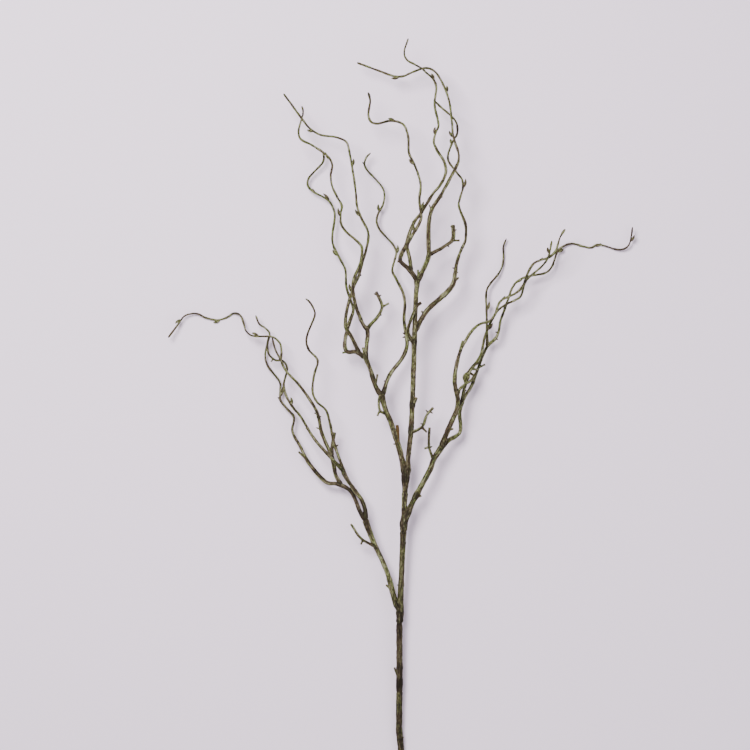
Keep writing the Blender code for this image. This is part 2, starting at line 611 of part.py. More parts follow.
def stations(name, line, start, end):
    """Distances along a strand where its section is set: closer where it bends or swells."""
    heights = [y + side * half for y, gain, half in swellings_of(name) for side in (-1, 0, 1)]
    wanted = [line.distance_at_y(y) for y in heights]
    marks = [start]
    last_direction = line.direction_at(start)
    for distance in line.along:
        if distance <= start + SMALLEST_STEP or distance >= end - SMALLEST_STEP:
            continue
        step = distance - marks[-1]
        turned = line.direction_at(distance).angle(last_direction)
        swells = step > SWELLING_STEP and any(abs(distance - want) < SWELLING_STEP / 2 for want in wanted)
        if swells or step >= LARGEST_STEP or (turned >= LARGEST_TURN and step >= SMALLEST_STEP):
            marks.append(distance)
            last_direction = line.direction_at(distance)
    return [*marks, end]


def resolution_for(radius):
    return next(resolution for least, resolution in SECTION_RESOLUTION if radius >= least)


def tube(name, points, radii, resolution):
    """A closed tube through points, with a radius at each, as a mesh object in metres."""
    curve = bpy.data.curves.new(name, "CURVE")
    curve.dimensions = "3D"
    curve.bevel_depth = MM
    curve.bevel_resolution = resolution
    curve.use_fill_caps = True
    spline = curve.splines.new("POLY")
    spline.points.add(len(points) - 1)
    for target, point, radius in zip(spline.points, points, radii):
        target.co = (*(point * MM), 1.0)
        target.radius = radius
    guide = bpy.data.objects.new(name, curve)
    bpy.context.scene.collection.objects.link(guide)
    bpy.context.view_layer.update()
    evaluated = guide.evaluated_get(bpy.context.evaluated_depsgraph_get())
    mesh = bpy.data.meshes.new_from_object(evaluated)
    bpy.data.objects.remove(guide)
    bpy.data.curves.remove(curve)
    close_caps(mesh)
    return bpy.data.objects.new(name, mesh)


def close_caps(mesh):
    shape = bmesh.new()
    shape.from_mesh(mesh)
    bmesh.ops.remove_doubles(shape, verts=shape.verts, dist=1e-6)
    bmesh.ops.recalc_face_normals(shape, faces=shape.faces)
    shape.to_mesh(mesh)
    shape.free()


def strand_tube(name, line, start=0.0, end=None):
    """One strand from start to end along its line, slightly uneven, drawn out at its tip unless cut."""
    end = line.length if end is None else end
    pointed = name not in CUT_ENDED
    marks = stations(name, line, start, end)
    if pointed:
        marks = [mark for mark in marks if mark < end - 1.5 * TIP_LENGTH] + [end - TIP_LENGTH, end]
    draw = random.Random(f"{UNEVEN_SEED} {name}")
    radii = []
    for mark in marks:
        uneven = 1 + draw.uniform(-UNEVEN_SHARE, UNEVEN_SHARE)
        here = line.point_at(mark).y
        swollen = sum(gain * math.exp(-(((here - y) / half) ** 2)) for y, gain, half in swellings_of(name))
        radii.append(line.radius_at(mark) * uneven + swollen)
    if pointed:
        radii[-2:] = [radii[-2] * TIP_SWELLING, TIP_RADIUS]
    return tube(name, [line.point_at(mark) for mark in marks], radii, resolution_for(max(line.widths) / 2))


def side_growth(name, line, kind, base, tip, lift):
    """A bud, a thorn or a cut stub whose root is sunk to the strand's centreline."""
    place = line.nearest(base)
    root = line.points[place]
    host = line.radius_at(line.along[place])
    level = root if kind == "stub" else line.points[line.nearest(tip)]
    end = Vector((*tip, level.z + lift))
    widest, share_of_host, profile = GROWTHS[kind]
    radius = min(widest, share_of_host * host)
    points = [root.lerp(end, share) for share, scale in profile]
    radii = [radius * scale for share, scale in profile]
    if kind == "stub":
        return tube(name, points, radii, 1)
    return tube(name, [*points, end], [*radii, TIP_RADIUS], 0)


def pin(name, start, direction, radius, length):
    return tube(name, [start, start + direction * length], [radius, radius], 2)


def join(pieces, name, parts):
    """One solid made from overlapping pieces, in the parts collection."""
    loose = new_collection(f"{name}_pieces")
    whole, *rest = pieces
    whole.name = name
    parts.objects.link(whole)
    for piece in rest:
        loose.objects.link(piece)
    if rest:
        union = whole.modifiers.new("join", "BOOLEAN")
        union.operation = "UNION"
        union.operand_type = "COLLECTION"
        union.collection = loose
        union.solver = "EXACT"
        bpy.context.view_layer.update()
        evaluated = whole.evaluated_get(bpy.context.evaluated_depsgraph_get())
        joined = bpy.data.meshes.new_from_object(evaluated)
        whole.modifiers.clear()
        whole.data = joined
    for piece in rest:
        bpy.data.objects.remove(piece)
    bpy.data.collections.remove(loose)
    return whole


def hide_cutter(cutter, cutters):
    cutters.objects.link(cutter)
    cutter.hide_render = True
    cutter.display_type = "WIRE"


def cut(whole, cutter):
    difference = whole.modifiers.new(f"cut_{cutter.name}", "BOOLEAN")
    difference.operation = "DIFFERENCE"
    difference.object = cutter
    difference.solver = "EXACT"


def surface_block():
    bpy.ops.mesh.primitive_cube_add(size=1.0)
    block = bpy.context.object
    block.name = "below_surface"
    for corner in block.data.vertices:
        corner.co = [place * side for place, side in zip(corner.co, SURFACE_BLOCK)]
        corner.co.z -= SURFACE_BLOCK[2] / 2
    for home in list(block.users_collection):
        home.objects.unlink(block)
    return block


def finish(name):
    material = bpy.data.materials.new(f"{name}_bark")
    material.use_nodes = True
    shader = material.node_tree.nodes["Principled BSDF"]
    shader.inputs["Base Color"].default_value = (*FINISHES[name], 1.0)
    shader.inputs["Roughness"].default_value = ROUGHNESS
    shader.inputs["Metallic"].default_value = 0.0
    return material


def growths_on(name, line):
    rows = enumerate(SIDE_GROWTHS.get(name, ()))
    return [side_growth(f"{name}_{row[0]}_{index}", line, *row) for index, row in rows]


def peg(name, line, start):
    """The peg that reaches back from a piece's foot into the socket below it."""
    direction = line.direction_at(start)
    root = line.point_at(start) + direction * ROOT_OVERLAP
    return pin(f"{name}_peg", root, -direction, PEG_RADIUS, PEG_LENGTH + ROOT_OVERLAP)


def socket(name, line, end):
    """The cutter of the blind hole that a peg sits in."""
    direction = line.direction_at(end)
    depth = PEG_LENGTH + PEG_CLEARANCE
    bottom = line.point_at(end) - direction * depth
    return pin(f"{name}_socket", bottom, direction, PEG_RADIUS + PEG_CLEARANCE, depth + ROOT_OVERLAP)


def outlet(limb, line, end):
    """The short arm of a fork that a spray is plugged into."""
    marks = [0.0, 0.4 * end, 0.7 * end, end - ROOT_OVERLAP, end]
    radii = [line.radius_at(mark) + OUTLET_LIP for mark in marks]
    radii[0] *= 0.7
    return tube(f"{limb}_outlet", [line.point_at(mark) for mark in marks], radii, 2)


def stem_length(index, lines):
    """The pieces and the socket cutters of one length of the main stem, with the outlets on it."""
    name = STEM_LENGTHS[index][1]
    line = lines[name]
    lowest, highest = index == 0, index == len(STEM_LENGTHS) - 1
    start = 0.0 if lowest else JOINT_GAP / 2
    end = line.length if highest else line.length - JOINT_GAP / 2
    pieces = [strand_tube(name, line, start, end), *growths_on(name, line)]
    sockets = []
    if not lowest:
        pieces.append(peg(name, line, start))
    if not highest:
        sockets.append(socket(name, line, end))
    for limb, joint in OUTLETS.items():
        if STRANDS[limb]["from"] == name:
            mouth = joint - JOINT_GAP / 2
            pieces.append(outlet(limb, lines[limb], mouth))
            sockets.append(socket(limb, lines[limb], mouth))
    return pieces, sockets


def spray(names, lines):
    """The pieces of one spray, from the joint in its first strand to its tips."""
    limb = names[0]
    foot = OUTLETS[limb] + JOINT_GAP / 2
    pieces = [strand_tube(limb, lines[limb], foot), *growths_on(limb, lines[limb])]
    pieces.append(peg(limb, lines[limb], foot))
    for name in names[1:]:
        pieces += [strand_tube(name, lines[name]), *growths_on(name, lines[name])]
    return pieces


def new_collection(name):
    made = bpy.data.collections.new(name)
    bpy.context.scene.collection.children.link(made)
    return made


def build():
    for old in list(bpy.data.objects):
        bpy.data.objects.remove(old)
    parts = new_collection("willow_stems")
    cutters = new_collection("cutters")
    lines = lay_strands()
    block = surface_block()
    hide_cutter(block, cutters)
    made = []
    for index, (node, name) in enumerate(STEM_LENGTHS):
        pieces, sockets = stem_length(index, lines)
        whole = join(pieces, node, parts)
        for cutter in sockets:
            hide_cutter(cutter, cutters)
            cut(whole, cutter)
        made.append(whole)
    for node, names in SPRAYS.items():
        made.append(join(spray(names, lines), node, parts))
    for whole in made:
        if min(corner.co.z for corner in whole.data.vertices) < 0:
            cut(whole, block)
        whole.data.materials.clear()
        whole.data.materials.append(finish(whole.name))
        whole.data.shade_smooth()


build()
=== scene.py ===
"""Curly willow stems laid on a pale floor and seen from straight above: a jointed main stem,
two forked side sprays, a crown spray and a leader, with wavy tendrils, buds, thorns and cut stubs.

The main stem's lengths and the sprays ride on the frame's one body. Routes, widths and heights
are in millimetres: X to the right, Y from the cut end to the tips, Z up from the floor.
"""

import json
import math
import random

import bpy
import numpy as np
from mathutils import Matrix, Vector

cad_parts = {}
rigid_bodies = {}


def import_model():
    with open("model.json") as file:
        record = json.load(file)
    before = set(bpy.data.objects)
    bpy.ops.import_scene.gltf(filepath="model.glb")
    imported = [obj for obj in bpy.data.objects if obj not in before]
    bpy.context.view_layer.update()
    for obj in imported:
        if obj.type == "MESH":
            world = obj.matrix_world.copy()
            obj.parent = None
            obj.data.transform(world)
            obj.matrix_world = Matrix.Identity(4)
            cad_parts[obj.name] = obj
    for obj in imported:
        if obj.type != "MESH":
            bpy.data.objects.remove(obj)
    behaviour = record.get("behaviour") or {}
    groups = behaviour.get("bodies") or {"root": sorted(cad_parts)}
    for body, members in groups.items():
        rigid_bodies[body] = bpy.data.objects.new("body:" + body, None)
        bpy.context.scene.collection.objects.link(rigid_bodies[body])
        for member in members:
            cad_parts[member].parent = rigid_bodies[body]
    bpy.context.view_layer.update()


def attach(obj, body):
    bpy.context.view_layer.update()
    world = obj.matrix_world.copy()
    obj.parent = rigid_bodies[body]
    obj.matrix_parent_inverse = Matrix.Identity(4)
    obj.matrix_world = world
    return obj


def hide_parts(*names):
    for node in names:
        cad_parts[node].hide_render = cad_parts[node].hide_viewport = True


MM = 0.001

# Each strand: the strand that it grows from, its widths along it and the points that it runs through.
STRANDS = {
    "butt": (None, (9.1, 9.0, 8.9, 8.8), (
        (3.5, -572, 4.4), (2.5, -492, 4.9), (1.5, -422, 7), (-1, -394, 8.5), (-0.5, -341.5, 12),
    )),
    "lower": (None, (8.8, 8.8), (
        (-0.5, -341.5, 12), (-0.5, -244, 17),
    )),
    "middle": (None, (8.8, 7.9, 8.0, 8.3), (
        (-0.5, -244, 17), (5, -115.5, 24),
    )),
    "upper": (None, (8.3, 7.7, 7.6, 7.8), (
        (5, -115.5, 24), (8, -33, 28),
    )),
    "left_limb": ("middle", (6.9, 7.6, 6.6, 6.6, 7.3), (
        (0.5, -234.5, 18), (-0.5, -227.5, 18.5), (-7, -212, 19), (-19, -170, 20.5), (-38, -128, 22),
        (-48.5, -100, 23),
    )),
    "left_twig": ("left_limb", (3.9, 3.5, 3.3), (
        (-37, -138, 22), (-54, -125.5, 30), (-68.5, -105, 36),
    )),
    "left_low": ("left_limb", (5.5, 5.5, 5.7, 5.6, 4.1, 3.2, 3.0, 2.8, 2.5), (
        (-48.5, -100, 23), (-55, -89.5, 22.5), (-69.5, -58.5, 21), (-87, -49.5, 20),
        (-100, -48, 19.5), (-105.5, -45, 19), (-128, -19.5, 17), (-140, 3.5, 15),
        (-149.5, 20.5, 13.5), (-151, 27, 13), (-149, 44.5, 12), (-159.5, 57.5, 11),
        (-167.5, 68, 10.5), (-168, 82, 10), (-168, 92.5, 9.5), (-186, 117.5, 9), (-189, 130.5, 9),
        (-184, 157, 12),
    )),
    "left_high": ("left_limb", (5.9, 5.7, 5.4, 4.1, 3.8, 3.4, 3.2, 3.0, 2.9, 2.6, 2.4), (
        (-47.5, -98.5, 24), (-48.5, -86, 25), (-53, -72, 26.5), (-62.5, -59, 28), (-77.5, -35.5, 30),
        (-80, -27, 31), (-92, 8.5, 37), (-97.5, 35.5, 42), (-103, 54, 45.5), (-116.5, 67, 48),
        (-121.5, 79, 49), (-120, 102.5, 47.5), (-115, 124, 46), (-127, 138.5, 48.5),
        (-130.5, 149, 51), (-129, 160.5, 53), (-118.5, 187.5, 57.5), (-119.5, 194, 58.5),
        (-126.5, 206, 61), (-131.5, 210, 62),
    )),
    "left_inner": ("left_high", (5.4, 4.5, 4.4, 3.6, 3.4, 3.2, 3.1, 2.9, 2.6, 2.4), (
        (-77.5, -35.5, 30), (-80, -30, 31.5), (-98, -10.5, 37), (-122, 17.5, 34), (-139, 45.5, 30),
        (-149.5, 58, 29), (-159.5, 75.5, 27.5), (-162.5, 89.5, 27), (-158, 114.5, 26),
        (-164.5, 123.5, 24), (-174.5, 124.5, 22), (-183.5, 132.5, 21), (-185.5, 141, 20.5),
        (-185, 149, 20), (-182.5, 161.5, 19), (-189, 169.5, 18), (-197, 175, 17), (-202.5, 187.5, 15),
    )),
    "left_outer": ("left_low", (5.5, 5.6, 5.2, 4.3, 3.5, 3.1, 2.8, 2.5, 2.5, 2.5, 2.5, 2.5), (
        (-82.5, -52.5, 20), (-89.5, -37.5, 22), (-95, -12, 25), (-110, 24, 30.5), (-113.5, 43, 33),
        (-117, 54, 34.5), (-140, 88.5, 38), (-159, 109, 37), (-166, 123, 35.5), (-165.5, 134.5, 34),
        (-167.5, 147.5, 32), (-175.5, 155.5, 30.5), (-182, 157.5, 29), (-191.5, 157.5, 27),
        (-206, 158.5, 20.5), (-212, 161.5, 17), (-216, 166, 14), (-223, 186, 7), (-228, 190, 5),
        (-235, 190, 2.5), (-242.5, 185, 0.85), (-256, 181, 0.85), (-273.5, 184.5, 3),
        (-285.5, 190, 5), (-301.5, 187, 7.5), (-310.5, 176, 10), (-325, 156, 15),
    )),
    "left_spur": ("left_inner", (3.0, 2.6, 2.3), (
        (-166.5, 124.5, 25), (-174, 138, 24), (-179, 156, 22),
    )),
    "left_stub": ("left_outer", (4.5, 4.5, 4.5), (
        (-95, -12, 25), (-95, 2, 21), (-91.5, 23, 19),
    )),
    "right_limb": ("upper", (7.7, 7.9, 7.3, 7.7, 6.7), (
        (6.5, -107, 25), (14, -83, 27), (42.5, -28, 29), (47, -16, 28.5), (59, 3.5, 27),
    )),
    "right_twig": ("right_limb", (3.6, 3.5, 3.7), (
        (47, -16, 28.5), (41, 2.5, 27), (41.5, 30, 29),
    )),
    "right_high": ("right_limb", (7.1, 6.9, 6.4, 5.7, 4.7, 3.6, 3.1, 3.1, 3.0, 2.9, 2.5), (
        (58, 2, 27), (66, 24, 32), (81, 62.5, 38), (76.5, 96, 43), (84, 136, 42), (98, 161.5, 38),
        (106.5, 171, 37), (112, 175, 36.5), (126, 179.5, 36), (131.5, 184.5, 36), (138, 202.5, 37),
        (142, 208, 37), (162.5, 218.5, 37.5), (170.5, 226, 38), (181.5, 252, 40.5), (189.5, 261, 42),
        (209, 268.5, 44.5), (217.5, 277, 46), (223.5, 296, 49.5), (230.5, 307, 52),
    )),
    "right_low": ("right_limb", (6.0, 5.7, 5.3, 4.4, 4.3, 3.6, 3.3, 3.0, 3.0, 2.8, 2.6, 2.4, 2.4, 2.3), (
        (58, 2, 26.5), (68, 12, 23), (84, 23, 19), (84, 52.5, 18), (89.5, 70, 19), (100, 87.5, 20),
        (116, 129.5, 18), (123.5, 144.5, 17), (134.5, 155.5, 19), (138.5, 165, 20.5), (142, 182, 22),
        (151, 207, 24), (157, 224, 22), (164, 234, 20), (173.5, 240, 18.5), (187.5, 243.5, 16),
        (205.5, 247.5, 12.5), (214, 256.5, 10), (216.5, 263, 9), (222.5, 278.5, 6.5),
        (231.5, 285.5, 4.5), (242, 288.5, 3), (258.5, 284.5, 0.8), (270, 283, 0.8), (278, 287, 1.28),
        (289.5, 285, 2.5), (301.5, 281, 4), (313.5, 280.5, 6), (322, 286.5, 7.5), (327, 311.5, 12),
    )),
    "right_knot": ("right_low", (4.2, 4.6, 4.4, 3.9, 3.5, 3.2, 3.0, 2.9, 2.7, 2.4), (
        (84.5, 61.5, 18.5), (90, 84, 26), (92.5, 92, 28.5), (93, 100, 29.5), (98, 109.5, 30),
        (112, 129, 28), (120.5, 161.5, 27), (136, 192.5, 30), (149.5, 203, 30), (161.5, 208.5, 29.5),
        (169, 213.5, 29.5), (176.5, 235, 29), (200.5, 257.5, 32), (207, 267, 32.5), (210, 278, 33),
        (212.5, 291.5, 35),
    )),
    "right_bridge": ("right_high", (3.9, 3.6, 3.3), (
        (79, 73.5, 39.5), (84, 84, 38), (92.5, 91.5, 35), (99.5, 96, 31), (104, 102.5, 27),
        (108, 109.5, 21),
    )),
    "right_rung": ("right_knot", (3.4, 3.0, 3.4), (
        (101, 113, 29.5), (105.5, 111.5, 25.5), (109.5, 111.5, 19),
    )),
    "right_tie": ("right_knot", (3.0, 2.6, 3.0), (
        (97.5, 106.5, 30), (101.5, 104.5, 29), (104, 102.5, 27),
    )),
    "right_spur": ("right_knot", (3.4, 3.6, 2.9), (
        (103, 116.5, 29.5), (109, 121, 26.5), (115, 131, 24),
    )),
    "right_inner": ("right_low", (4.4, 3.6, 3.1, 2.9, 2.6, 2.2), (
        (123.5, 143, 17), (122, 189.5, 13.5), (122, 222, 11), (127, 231.5, 9.5), (139, 246.5, 7),
        (144, 256.5, 5), (146, 269.5, 4), (145.5, 283.5, 5), (150, 295.5, 6),
    )),
    "crown_limb": ("upper", (7.4, 7.7, 7.4, 7.1, 6.9), (
        (8, -40, 28), (3.3, -16, 30), (-4.4, 12, 31.5), (-13.6, 40, 33), (-18.5, 51, 34),
        (-26.5, 76.5, 36),
    )),
    "crown_twig": ("crown_limb", (3.7, 3.5, 3.7), (
        (-20, 48.5, 34), (-27.5, 53.5, 38), (-29.5, 68, 41.5), (-28, 75, 43),
    )),
    "crown_mid": ("crown_limb",
        (6.1, 6.0, 5.7, 5.2, 5.1, 4.9, 4.5, 3.9, 3.4, 3.1, 3.0, 3.0, 3.0, 3.0, 2.6, 2.5), (
        (-25, 73.5, 36), (-34.5, 89, 38), (-41, 110, 40), (-47.5, 128, 41.5), (-46.5, 145, 43),
        (-45.5, 166, 45), (-50.5, 172.5, 46), (-59, 192, 50), (-63.5, 208, 52.5), (-65.5, 231.5, 56),
        (-55, 261, 59), (-53, 281.5, 56), (-58, 288.5, 54.5), (-75.5, 304, 50), (-82, 314.5, 48),
        (-82.5, 330.5, 46), (-81, 339.5, 44.5), (-90.5, 357.5, 42), (-95, 368.5, 41.5),
        (-96.5, 382.5, 41), (-94.5, 396.5, 42.5), (-99, 407, 44), (-122, 424, 48),
        (-138.5, 433, 50.5), (-141.5, 443, 52), (-135, 470.5, 57), (-137, 478, 59),
    )),
    "crown_hook": ("crown_mid", (4.2, 4.2, 4.5, 4.2), (
        (-45.5, 164, 45), (-44, 170, 44), (-30, 186.5, 40), (-25, 199.5, 38.5), (-33, 220, 36),
    )),
    "crown_box": ("crown_mid", (5.2, 5.7, 5.4, 4.1, 3.7, 3.4, 3.2, 3.1, 2.9, 2.9, 2.9, 2.4), (
        (-47, 127, 41), (-60.5, 135.5, 37), (-74, 136.5, 34), (-77, 145, 32.5), (-73.5, 167.5, 30),
        (-65.5, 193, 27), (-66, 199, 26.5), (-75, 227.5, 24), (-76.5, 251.5, 22), (-85, 268.5, 20),
        (-93.5, 285.5, 18), (-95, 296.5, 17), (-91.5, 329.5, 14), (-98, 346, 12.5), (-106.5, 353, 12),
        (-122, 361.5, 10.5), (-129, 369.5, 10), (-128.5, 379, 10), (-113, 396, 12), (-108, 402, 13),
        (-106.5, 408.5, 14), (-108, 416, 15),
    )),
    "crown_cross": ("crown_box", (5.4, 5.2, 4.6, 4.3, 4.0, 3.5, 3.2, 3.1, 2.9, 2.9, 2.9, 2.9, 2.6), (
        (-56.5, 133.5, 38), (-68, 157.5, 39), (-75.5, 170, 40), (-75, 189.5, 40), (-65, 225.5, 42),
        (-57, 243.5, 41.5), (-54, 255.5, 41), (-44.5, 291.5, 43), (-45, 305, 44), (-54.5, 324, 46),
        (-60, 340.5, 48), (-61.5, 357.5, 50), (-66, 390, 52), (-71, 417, 50), (-74, 427.5, 48.5),
        (-78.5, 431.5, 47.5), (-90.5, 436, 45), (-112, 439.5, 40), (-127, 449.5, 37.5),
        (-135.5, 460, 37), (-154, 485, 41), (-162.5, 496.5, 45),
    )),
    "crown_right": ("crown_limb", (5.6, 5.6, 5.5, 5.0, 4.1, 3.5, 3.2, 2.8, 2.7, 2.7, 2.6, 2.2), (
        (-24.5, 72, 35.5), (-14.5, 103, 31), (5.5, 131, 26), (10, 145, 24), (10, 152, 23),
        (6, 180, 21), (7, 207, 20), (4, 220, 19.5), (-5.5, 239, 19), (-10.5, 250, 18), (-5, 276, 17),
        (-9.5, 286.5, 16), (-19, 297, 15), (-29, 309, 14), (-32.5, 320, 13), (-30, 331, 12),
        (-24, 341.5, 11.5), (-21.5, 353.5, 11), (-24, 366, 11.5), (-32.5, 377, 12),
        (-46.5, 392, 14.5), (-49.5, 400, 16), (-46, 410, 18.5), (-41, 415, 20),
    )),
    "leader": ("upper", (6.4, 6.7, 6.8, 7.0, 7.1, 7.5, 7.4, 6.9, 6.4, 6.6, 6.1), (
        (9.5, -41, 28.5), (11, -34, 29), (11.5, -16, 31), (15.5, 26, 34), (18, 82, 40), (20, 138, 44),
        (21.5, 194, 48), (24, 236, 52),
    )),
    "leader_twig": ("leader", (4.3, 3.9, 3.7), (
        (16, 22, 34), (31, 31, 38), (38, 48.5, 41.5), (46.5, 58, 44),
    )),
    "leader_hook": ("leader", (4.6, 4.2, 4.6), (
        (20, 147, 45.5), (14, 156, 49), (11, 165, 52), (18, 187.5, 57), (24.5, 200.5, 57.5),
        (29.5, 204.5, 58),
    )),
    "leader_right": ("leader", (6.4, 6.7, 7.2, 6.8, 4.6, 3.8, 3.6, 3.2, 3.1, 3.0, 2.9, 2.9, 2.6, 2.6), (
        (21, 164.5, 46), (34, 188.5, 44), (42, 198, 43), (69, 223, 40), (75, 232.5, 39),
        (77.5, 248, 38), (79.5, 261, 38.5), (86, 279, 41), (91, 290, 43), (92, 297.5, 44),
        (91.5, 313.5, 46), (84.5, 332.5, 48), (82, 342.5, 49.5), (88, 365, 52), (86.5, 376, 52.5),
        (77.5, 388, 53), (67, 405, 51.5), (74.5, 431, 47), (79.5, 439.5, 45.5), (80, 451.5, 44),
        (78.5, 457, 42.5), (72, 465.5, 40), (57, 478.5, 36), (47, 488.5, 33),
    )),
    "fork_left": ("leader", (5.5, 5.7, 5.4, 4.9, 4.1, 4.2, 4.4, 3.5, 3.3, 3.1, 3.0, 2.6, 2.5, 2.2), (
        (23.5, 234, 52), (20.5, 240.5, 52.5), (11.5, 252, 53), (0.5, 263.5, 50), (3, 273.5, 48),
        (8.5, 284.5, 46), (14, 303, 43), (19.5, 316.5, 41.5), (30, 330.5, 40), (46.5, 357.5, 38),
        (56, 368.5, 37), (64, 386.5, 36), (62.5, 400.5, 36), (52, 418, 36), (47.5, 429, 37),
        (49.5, 440.5, 38), (54, 451.5, 39), (53.5, 458, 40), (48.5, 480.5, 44), (50.5, 506.5, 48),
        (46, 517, 50), (36.5, 525.5, 52), (32, 530, 53), (18.5, 537.5, 56), (9.5, 543, 58),
        (6, 552.5, 60), (11.5, 572, 66),
    )),
    "fork_mid": ("fork_left", (5.3, 5.1, 5.0, 4.2, 3.7, 3.5, 3.3, 3.3, 3.2, 3.1, 3.0, 2.6), (
        (15, 247, 53), (13.5, 266, 57), (10, 283.5, 59), (14, 293, 59.5), (26, 313, 61),
        (29.5, 323.5, 61.5), (29, 329.5, 62), (27, 348, 64), (29, 366.5, 65), (26.5, 379, 64.5),
        (20, 396.5, 63), (12.5, 412.5, 60.5), (11.5, 435, 58), (5.5, 451.5, 56), (-4, 457, 54),
        (-15, 458, 51), (-32, 454.5, 47), (-40, 457, 45.5), (-44, 466.5, 45), (-41.5, 487, 47),
        (-44.5, 498, 50),
    )),
    "fork_right": ("leader",
        (6.0, 6.3, 6.2, 5.8, 5.0, 4.2, 3.5, 3.0, 3.0, 3.0, 3.0, 3.0, 3.0, 2.6, 2.5), (
        (23.5, 232.5, 52), (40, 269.5, 56), (40, 281, 57), (40, 310.5, 60.5), (43, 331, 63),
        (56, 352.5, 66), (69, 376, 68), (76.5, 390, 67), (81, 400.5, 66), (81.5, 412.5, 64),
        (74.5, 435, 60), (72, 460, 57), (67, 492, 52), (54, 520.5, 46), (46, 529.5, 43.5),
        (35.5, 532.5, 41), (12, 524.5, 36), (6.5, 522, 35), (-4.5, 521, 33), (-28, 529, 30),
        (-60, 541, 29),
    )),
    "fork_twig": ("fork_right", (5.0, 4.7, 5.6, 5.6), (
        (40, 271.5, 56.5), (60.5, 282, 60), (73, 292, 62), (74, 312.5, 64),
    )),
}

